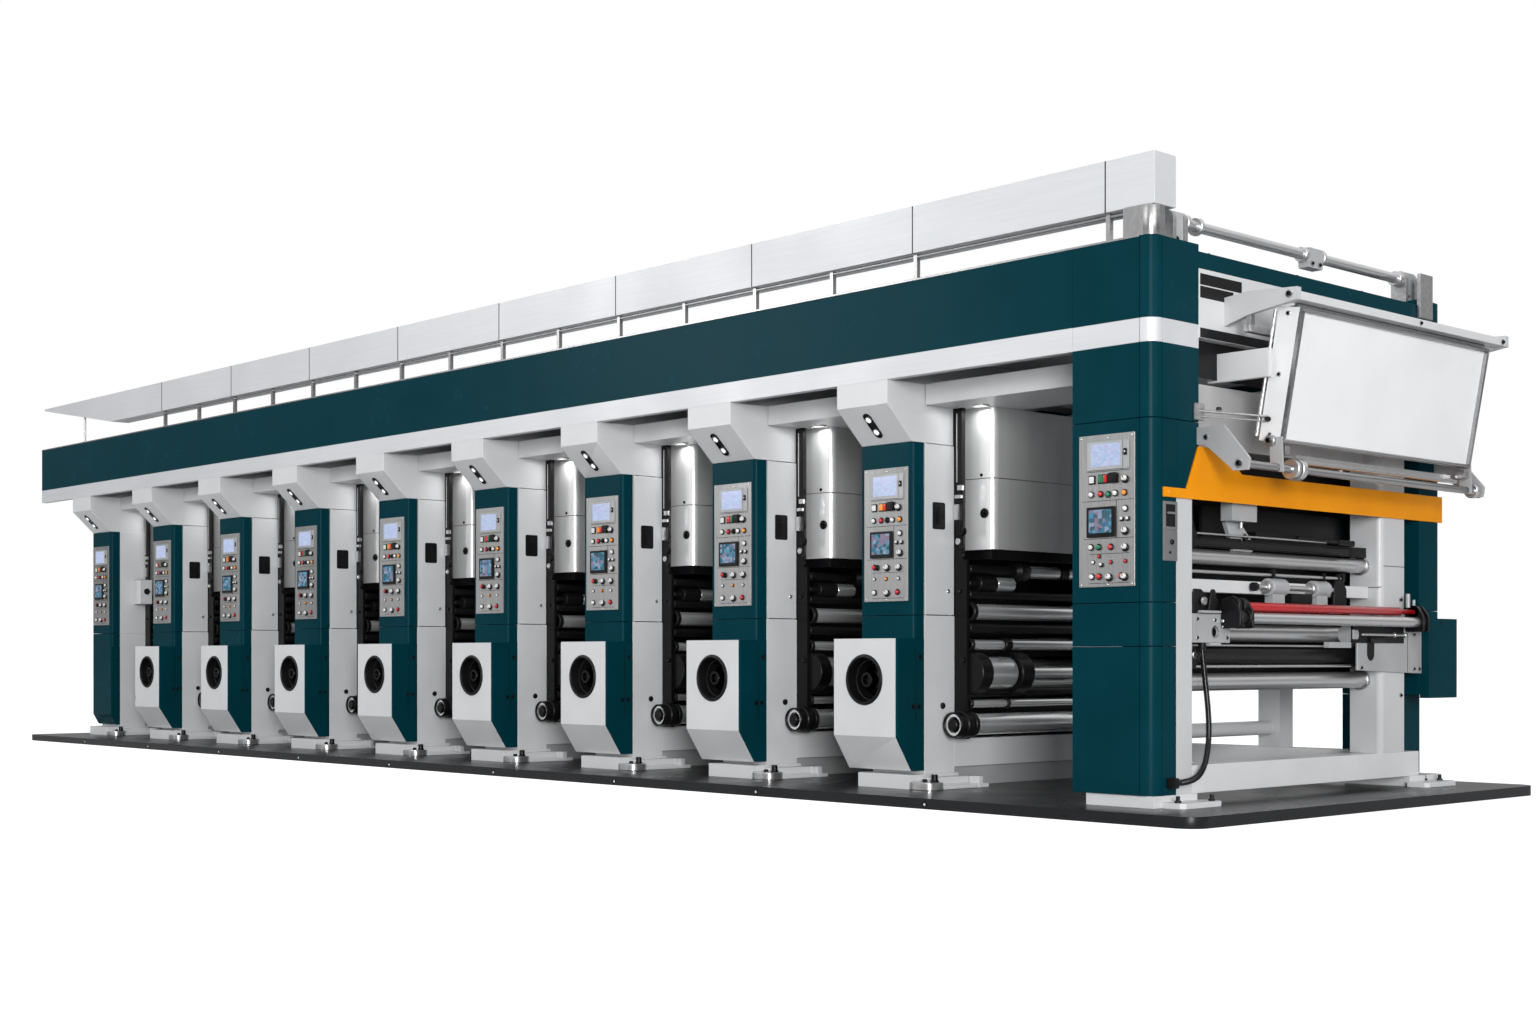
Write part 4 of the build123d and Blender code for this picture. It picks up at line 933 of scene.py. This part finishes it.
# boxes of each piece: two corners and the bevel
END_BOXES = {
    "dark_rails": [((7.0, -0.7, 2.722), (7.078, 1.22, 2.736), 0.002)],
    "board_sheets": [((6.9, -0.77, 2.745), (7.09, -0.72, 2.79), 0.003)],
    "arm_sheets": [((6.6, -0.838, 2.35), (6.99, -0.8, 2.505), 0.004),
                   ((6.6, -0.838, 2.505), (6.66, -0.8, 2.562), 0.002)],
    "bright_rails": [((6.86, -0.88, 2.595), (6.9, 1.38, 2.635), 0.006),
                     ((6.945, -0.5, 1.905), (6.985, 1.22, 1.925), 0.003),
                     ((6.945, -0.5, 1.925), (6.951, 1.22, 1.955), 0.001)],
    "cast_lugs": [((6.865, -0.862, 2.635), (6.895, -0.822, 2.7), 0.003),
                  ((6.865, 1.335, 2.635), (6.895, 1.375, 2.7), 0.003),
                  ((6.731, 1.19, 2.935), (6.757, 1.345, 3.21), 0.006),
                  ((6.965, -0.74, 1.935), (7.03, -0.69, 1.985), 0.006),
                  ((6.965, 1.22, 1.935), (7.03, 1.27, 1.985), 0.006),
                  ((6.73, -1.16, 2.115), (6.745, -1.07, 2.205), 0.004)],
    "grey_blocks": [((6.62, -0.741, 1.6), (6.7, -0.5, 1.71), 0.006),
                    ((6.7, 0.18, 0.905), (6.74, 0.42, 0.94), 0.004),
                    ((6.715, -1.03, 0.912), (6.755, -0.93, 0.928), 0.003)],
    "dark_plates": [
        # painted shade: thin dark sheets on the end beam's face stand for the shade in its gaps; and the sheet hung
        # under it
        ((6.7295, -1.09, 2.845), (6.7312, -0.7, 2.905), 0.0),
        ((6.7295, -1.09, 2.775), (6.7312, -0.78, 2.838), 0.0),
        ((6.7295, -1.09, 2.562), (6.7312, -0.36, 2.614), 0.0),
        ((6.66, -1.1, 2.36), (6.665, 0.77, 2.562), 0.001),
        # behind the knife block
        ((6.45, -0.7, 1.52), (6.47, 0.75, 1.7), 0.003), ((6.5, -0.36, 1.508), (6.6, -0.12, 1.56), 0.004),
        ((6.571, 0.42, 1.51), (6.66, 0.6, 1.545), 0.008),
        # clamps of the bars and bearings of the rollers
        ((6.6, INSIDE, 1.45), (6.69, INSIDE + 0.11, 1.48), 0.006),
        ((6.6, INSIDE, 1.5), (6.69, INSIDE + 0.11, 1.53), 0.006),
        ((6.64, -1.12, 1.295), (6.672, -1.09, 1.345), 0.005), ((6.64, -0.3, 1.295), (6.672, -0.27, 1.345), 0.005),
        ((6.64, 0.44, 1.295), (6.672, 0.47, 1.345), 0.005),
        ((6.61, INSIDE, 0.79), (6.69, -1.06, 0.905), 0.01), ((6.61, 0.55, 0.79), (6.69, 0.74, 0.915), 0.012),
        # on the cross beam and the rear bracket
        ((6.645, -0.15, 1.155), (6.7, 0.07, 1.215), 0.01), ((6.648, 0.24, 1.275), (6.668, 0.26, 1.34), 0.003),
        ((6.648, 0.4, 1.275), (6.668, 0.42, 1.34), 0.003), ((6.732, 0.42, 0.936), (6.748, 1.01, 1.06), 0.004),
        # painted shade: a thin dark sheet stands for the shade in the recess of the latch box
        ((6.7405, -1.412, 1.535), (6.7412, -1.33, 1.652), 0.0),
    ],
    # joint lines of the rear bracket, the rear post and the junction box
    "panel_seams": [((6.745, 1.055, 0.762), (6.7462, 1.058, 1.12), 0.0),
                    ((6.63, 0.7742, 1.27), (6.73, 0.7752, 1.274), 0.0),
                    ((6.63, 0.7742, 1.13), (6.73, 0.7752, 1.134), 0.0),
                    ((6.7298, 0.8, 1.398), (6.7308, 1.04, 1.402), 0.0),
                    ((6.7895, 1.25, 0.615), (6.7906, 1.252, 1.075), 0.0)],
    # catch of the junction box, and the latch box on the column
    "bolt_heads": [((6.79, 1.375, 1.062), (6.797, 1.405, 1.068), 0.001)],
    "latch_frames": [((6.736, -1.427, 1.52), (6.7405, -1.308, 1.667), 0.002),
                     ((6.736, -1.427, 1.357), (6.7395, -1.308, 1.512), 0.002),
                     ((6.7412, -1.405, 1.6), (6.752, -1.34, 1.612), 0.003)],
}
for piece, rows in END_BOXES.items():
    for low, high, bevel in rows:
        box(piece, low, high, bevel)

# rods along Y of each piece: place, start, stop and radius
END_BARS = {
    "bright_rails": [
        (7.05, 2.712, -0.7, 1.0, 0.009), (7.02, 2.712, -0.6, 1.1, 0.006), (6.645, 1.523, -1.12, 0.3, 0.006),
        (6.655, 1.315, -1.12, 0.46, 0.009), (6.66, 0.915, -1.15, 0.6, 0.006), (6.655, 0.8, -1.15, 0.7, 0.008),
        (*MOTOR, -0.46, 0.32, 0.014), (6.76, 1.045, -0.93, -0.79, 0.009), (6.76, 1.015, -0.93, -0.83, 0.006),
        (6.76, 0.985, 0.5, 1.0, 0.008),
    ],
    "dark_bars": [(6.66, 1.475, -1.1, 0.5, 0.02), (6.748, 0.955, 0.6, 0.78, 0.018)],
    "satin_rollers": [(*ROOF_ROD, -1.19, 1.205, 0.03, 0.002, 32), (*OUTER_ROLLER, -0.787, 1.02, 0.031, 0.003, 36)],
    # the tube to the far upright
    "white_tubes": [(5.81, 0.4, -0.75, 0.998, 0.045, 0.004, 32)],
}
for piece, rows in END_BARS.items():
    for row in rows:
        along(piece, *row)

# other rods: beside the board, the struts to it, and the small ones of the end frame
for piece, start, stop, radius in (
    ("bright_rails", on_board(0.02, 0.142, -0.775), on_board(0.7, 0.142, -0.775), 0.009),
    ("bright_rails", on_board(0.02, 0.142, 1.292), on_board(0.7, 0.142, 1.292), 0.009),
    ("cast_lugs", (6.736, -1.12, 2.165), (6.945, -0.772, 2.145), 0.007),
    ("cast_lugs", (6.736, -1.12, 2.135), (6.945, -0.772, 2.12), 0.004),
    ("bright_rails", (6.66, -0.6, 1.6), (6.66, -0.6, 1.565), 0.01),
    ("dark_bars", (6.64, 0.0, 1.535), (6.64, 0.44, 1.53), 0.014),
    ("dark_bars", (6.745, -0.905, 1.02), (6.88, -0.905, 1.02), 0.012),
    ("grey_blocks", (6.79, 0.98, 1.15), (6.79, 0.98, 1.235), 0.013),
    ("grey_blocks", (6.79, 1.05, 1.15), (6.79, 1.05, 1.2), 0.009),
):
    rod(piece, start, stop, radius)

# bolts that face the near end: radius and places
for radius, spots in (
    (0.01, [(6.636, 0.165, 3.145), (6.636, 0.245, 3.145), (6.636, 1.252, 3.09), (6.636, -1.17, 3.09)]),
    (0.011, [(7.1805, 1.395, 2.757)]),
    (0.009, [(7.1805, 0.42, 2.757), (6.7305, 1.0, 1.2), (6.7305, 1.0, 0.62)]),
    (0.007, [(BRACKET_FACE, y, z) for y in (-1.14, -0.865) for z in (1.055, 0.955)]),
    (0.006, [(BRACKET_FACE, -0.977, 1.05)]),
    (0.008, [(BRACKET_FACE, y, z)
             for y, z in ((0.52, 0.79), (1.1, 1.03), (1.13, 0.78), (1.19, 0.78), (1.13, 0.99))]),
):
    for spot in spots:
        bolt(spot, NEAR, radius)
# bolts that face the operator side: the arm, the board's casting, the lower rod and the arm's pin
for spot, radius in (((7.135, -0.8675, 2.768), 0.013), (on_board(0.715, 0.045, -0.801), 0.014),
                     ((LOWER_ROD[0] - 0.005, -1.1225, LOWER_ROD[1]), 0.015), ((6.79, -1.1225, 2.02), 0.009)):
    bolt(spot, OPERATOR, radius)
# bolts on the roof clamp and the end beam
bolt((ROOF_ROD[0], 0.205, 3.235), UP, 0.01)
for y in (-0.97, -0.1, 0.6, 1.1):
    bolt((6.7, y, 3.02), UP, 0.009)

# corner castings of the board with their bolts
for y, side in ((-0.7675, -1), (1.2845, 1)):
    for down in (0.035, 0.36, 0.685):
        bolt(on_board(down, 0.065, y), (0, side, 0), 0.008)
for y in (-0.8, 1.298):
    turned("cast_lugs", [(0, 0), (0, 0.028), (0.004, 0.032), (0.022, 0.032), (0.026, 0.028), (0.026, 0)],
           on_board(0.715, 0.045, y), REAR, 28)
# knobs of the struts
knob("bolt_heads", (6.94, -0.79, 2.13), (0.5, 0.86, 0), 0.014, 0.02, 0.01, 0.026, 18, closed=True)
knob("bolt_heads", (6.8, -1.02, 2.17), UP, 0.015, 0.014, 0.01, 0.018, 18, closed=True)

# lower rod: collars, nut and end cap
for y, inner, outer, width in ((-0.648, 0.022, 0.055, 0.03), (-0.608, 0.022, 0.062, 0.045),
                               (1.345, 0.022, 0.044, 0.05), (1.425, 0.0, 0.04, 0.025)):
    collar("rod_collars", *LOWER_ROD, y, inner, outer, width)
hexagon("rod_collars", (LOWER_ROD[0], -0.563, LOWER_ROD[1]), REAR, 0.052, 0.022)

# knob of the knife block
KNIFE_KNOB = (6.63, -0.53, 1.515)
turned("bolt_heads", [(0, 0.022), (0.012, 0.022), (0.018, 0.018), (0.018, 0.012), (0.01, 0)], KNIFE_KNOB, NEAR, 22)
turned("bolt_washers", [(0, 0.03), (0.004, 0.03), (0.006, 0.026), (0.006, 0.02)], KNIFE_KNOB, NEAR, 24)

# end rollers, with their bearing rings
for z, radius, piece in ((1.4, 0.042, "satin_rollers"), (0.985, 0.048, "satin_rollers"),
                         (0.715, 0.048, "satin_rollers"), (0.86, 0.045, "impression_rollers")):
    along(piece, END_ROLLER, z, INSIDE, 0.775, radius, 0.004, 40)
    collar("bearing_rings", END_ROLLER, z, -1.164, radius - 0.012, radius + 0.016, 0.03)
    collar("bearing_rings", END_ROLLER, z, 0.745, radius - 0.012, radius + 0.01, 0.03)
    bolt((END_ROLLER, -1.134, z), REAR, 0.012)
for y in (-1.14, -1.1):
    knob("bearing_rings", (6.69, y, 0.862), NEAR, 0.02, 0.012, 0.015, 0.016, 18)

# drive motors on the cross beam
for y, length, radius in ((-0.36, 0.16, 0.05), (0.1, 0.15, 0.048)):
    collar("grey_blocks", *MOTOR, y, 0.0, radius, length, 36)
    collar("bearing_rings", *MOTOR, y - 0.025, 0.0, radius * 0.7, 0.024, 28)
    collar("bearing_rings", *MOTOR, y + length + 0.001, 0.0, radius * 0.75, 0.02, 28)
    box("grey_blocks", (6.64, y + 0.02, 1.15), (6.7, y + length - 0.02, 1.24), 0.006)
knob("bolt_heads", (MOTOR[0], -0.5, MOTOR[1]), REAR, 0.024, 0.03, 0.02, 0.036, 22, closed=True)

# blocks and levers of the outer rollers, and the small roller of the rear bracket
for y, outer, width in ((-0.9, 0.05, 0.03), (-0.86, 0.036, 0.025), (-0.822, 0.05, 0.034), (1.021, 0.05, 0.03)):
    collar("dark_bars", *OUTER_ROLLER, y, 0.0, outer, width)
for y, outer, width in ((-0.912, 0.055, 0.03), (-0.84, 0.045, 0.052), (-0.785, 0.033, 0.02), (1.02, 0.04, 0.035)):
    collar("dark_bars", *UPPER_ROLLER, y, 0.0151, outer, width)
turned("bearing_rings", [(0, 0.02), (0.01, 0.024), (0.02, 0.02), (0.024, 0)], (6.75, -1.1, 1.15), NEAR, 24)
for y in (0.86, 0.98):
    collar("bearing_rings", 6.76, 0.985, y, 0.0, 0.016, 0.02)
collar("grey_blocks", 6.7, 0.985, 0.42, 0.0, 0.056, 0.06)
collar("bearing_rings", 6.7, 0.985, 0.485, 0.0, 0.045, 0.03)

# plates that face the near end: outline, place, thickness and rounding
for piece, outline, x, thickness, settings in (
    ("grey_blocks", [(-0.7, 1.6), (-0.56, 1.6), (-0.44, 1.5), (-0.44, 1.44), (-0.62, 1.44)], 6.6, 0.03, {}),
    ("dark_plates", [(INSIDE, 1.44), (-1.09, 1.44), (-1.09, 1.53), (-1.12, 1.6), (INSIDE, 1.6)], 6.69, 0.012,
     {"bevel": 0.002}),
    ("dark_plates", [(0.33, 1.1), (0.47, 1.1), (0.47, 1.25), (0.43, 1.3), (0.36, 1.3), (0.33, 1.26)], 6.66, 0.02,
     {"round_at": 0.012}),
    ("dark_plates", [(INSIDE, 1.09), (-1.00, 1.09), (-0.94, 1.13), (-0.94, 1.16), (-1.02, 1.17), (-1.1, 1.215),
                     (INSIDE, 1.215)], 6.732, 0.012, {}),
    ("dark_plates", [(-1.06, 1.1), (-1.0, 1.1), (-0.985, 1.18), (-1.0, 1.215), (-1.025, 1.215), (-1.045, 1.17)],
     6.75, 0.014, {"round_at": 0.008}),
    ("grey_blocks", [(-1.13, 1.086), (-0.95, 1.086), (-0.95, 1.1), (-1.13, 1.1)], 6.73, 0.04, {}),
    ("dark_plates", [(0.585, 0.935), (0.585, 0.862), (0.6, 0.838), (0.625, 0.828), (0.65, 0.838), (0.665, 0.862),
                     (0.665, 0.935)], 6.745, 0.003, {"bevel": 0.001}),
):
    plate(piece, outline, x, thickness, **settings)

# round recess of the front bracket
RECESS = (6.745, -0.977, 0.985)
turned("bearing_rings", [(0, 0.035), (0.003, 0.035), (0.004, 0.031), (0.001, 0.03)], RECESS, NEAR, 32)
turned("dark_plates", [(-0.012, 0.0295), (-0.028, 0.0295), (-0.028, 0)], RECESS, NEAR, 28)

# lock of the latch box
knob("bolt_heads", (6.7395, -1.36, 1.455), NEAR, 0.014, 0.006, 0.01, 0.01, 20)
knob("bolt_heads", (6.7395, -1.375, 1.4), NEAR, 0.007, 0.004, 0.004, 0.006, 12)
knob("orange_dots", (6.744, -1.4, 1.715), NEAR, 0.008, 0.004, 0.005, 0.006, 14)

fixed(
    ("bolt_washers", STEEL, "brushed_silver"), ("bolt_heads", DARK_STEEL, "black_steel"),
    ("rod_collars", SATIN, "chrome"), ("cast_lugs", CAST, "grey_paint"),
    ("dark_rails", DARK_STEEL, "black_steel"), ("bright_rails", SATIN, "chrome"),
    ("board_sheets", LIT_BOARD_WHITE, "white_paint"), ("arm_sheets", WHITE, "white_paint"),
    ("grey_blocks", GREY, "grey_paint"), ("dark_plates", PLASTIC, "black_steel"),
    ("dark_bars", PLASTIC, "black_steel"), ("satin_rollers", SATIN, "chrome"),
    ("bearing_rings", STEEL, "chrome"), ("panel_seams", DARK_STEEL, "black_steel"),
    ("latch_frames", MID_GREY, "grey_paint"), ("orange_dots", ORANGE_CAP, "orange_paint"),
    ("white_tubes", WHITE, "white_paint"),
    ("impression_rollers", RUBBER, "dark_rubber", "dark_rollers"), ("roller_ends", PLASTIC, "black_steel"),
    ("housings", PLASTIC, "black_steel", "bearing_housings"),
    ("chrome_rollers", CHROME, "chrome", "bright_rollers"),
)

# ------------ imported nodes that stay
KEPT = {
    FLOOR_PLATE: "base_plate", SHADED_END_WHITE: "end_frame", LIT_BOARD_WHITE: "inspection_board", SILVER_UP: "control_panels",
    MID_GREY: "side_boxes", ORANGE: "end_hood", STAINLESS: "dryer_hoods", RUBBER: "dark_rollers",
    RED_RUBBER: "red_roller", PLASTIC: "screens",
    WHITE: "feet lower_posts upper_posts cabinet_back_walls guard_boxes corbels floor_beams outer_beam "
           "roof_cross_beams bay_soffits end_beams roof_panel",
    TEAL: "guard_cheeks fascias end_fascia junction_box pillar_claddings end_columns fascia_corners",
    SILVER: "silver_bands parapet band_corners",
    TUBE: "parapet_posts end_rods",
    GREY: "rod_brackets end_brackets",
    BLACK_PAINT: "unit_covers unit_side_plates bearing_housings",
    CHROME: "bright_rollers",
}
for n in PRINT_UNITS:
    KEPT[WHITE] += f" pillar_door_{n}"
    KEPT[CHROME] += f" print_cylinder_{n}"
for material, names in KEPT.items():
    for name in names.split():
        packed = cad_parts[name]
        packed.data.materials.clear()
        packed.data.materials.append(material)
        weld = packed.modifiers.new("weld", "WELD")
        weld.merge_threshold = 0.0002
        edge = packed.modifiers.new("soft edges", "BEVEL")
        edge.width = 0.003
        edge.segments = 2
        edge.limit_method = "ANGLE"
        edge.angle_limit = math.radians(40)

# ------------ room
floor_mesh = bpy.data.meshes.new("floor")
floor_shape = bmesh.new()
bmesh.ops.create_grid(floor_shape, x_segments=1, y_segments=1, size=90)
floor_shape.to_mesh(floor_mesh)
floor_shape.free()
floor = bpy.data.objects.new("floor", floor_mesh)
bpy.context.scene.collection.objects.link(floor)
floor.location.z = -0.001
pale, tree, shader = finish_base("pale floor", 0.7, 0.0)
wire(tree, shader, {"Base Color": (0.42, 0.42, 0.42, 1)})
path = node(tree, "LightPath").outputs
seen = calculate(tree, "MULTIPLY_ADD", path["Is Glossy Ray"], 0.35, path["Is Camera Ray"])
glow = node(tree, "Emission", {"Color": (1, 1, 1, 1), "Strength": calculate(tree, "MULTIPLY", seen, 0.86)})
both = node(tree, "AddShader", {0: shader.outputs["BSDF"], 1: glow.outputs["Emission"]})
wire(tree, tree.nodes["Material Output"], {"Surface": both.outputs["Shader"]})
floor_mesh.materials.append(pale)

world = bpy.data.worlds.new("studio")
bpy.context.scene.world = world
world.use_nodes = True
tree = world.node_tree
back = tree.nodes["Background"]
wire(tree, back, {"Color": (0.9, 0.93, 0.97, 1), "Strength": 0.42})
path = node(tree, "LightPath").outputs
height = node(tree, "SeparateXYZ", {0: node(tree, "TexCoord").outputs["Object"]}).outputs["Z"]
above = node(tree, "MapRange", {"Value": height, "From Min": 0.03, "From Max": 0.45,
                                "To Min": 0.2, "To Max": 0.95}).outputs["Result"]
level = calculate(tree, "MULTIPLY_ADD", path["Is Glossy Ray"], above, path["Is Camera Ray"])
white = node(tree, "Background", {"Color": (1, 1, 1, 1), "Strength": level})
seen = calculate(tree, "MAXIMUM", path["Is Camera Ray"], path["Is Glossy Ray"])
mix = node(tree, "MixShader", {"Fac": seen, 1: back.outputs[0], 2: white.outputs[0]})
wire(tree, tree.nodes["World Output"], {"Surface": mix.outputs[0]})

bpy.context.scene.view_settings.view_transform = "Standard"


def lamp(name, at, aim, size, power):
    """A soft square lamp."""
    data = bpy.data.lights.new(name, "AREA")
    data.shape = "RECTANGLE"
    data.size, data.size_y = size
    data.energy = power
    item = bpy.data.objects.new(name, data)
    item.location = at
    item.rotation_euler = (Vector(aim) - Vector(at)).to_track_quat("-Z", "Y").to_euler()
    bpy.context.scene.collection.objects.link(item)


lamp("front", (4, -14, 7), (0, -1, 1.6), (9, 5), 250)
lamp("far front", (-9, -13, 6), (-6, -1, 2.8), (7, 5), 480)
lamp("end", (17, -3, 6), (5, 0, 1.8), (6, 5), 220)
lamp("overhead", (0, -2, 9), (0, 0, 0), (14, 5), 360)
lamp("near side", (26, -18.5, 4), (2, -1, 1.5), (8, 8), 5300)
for n, x in PILLAR_X.items():
    lamp(f"soffit_{n}", (x + 0.62, -0.91, 2.355), (x + 0.62, -0.87, 0), (0.09, 0.09), 0.7)
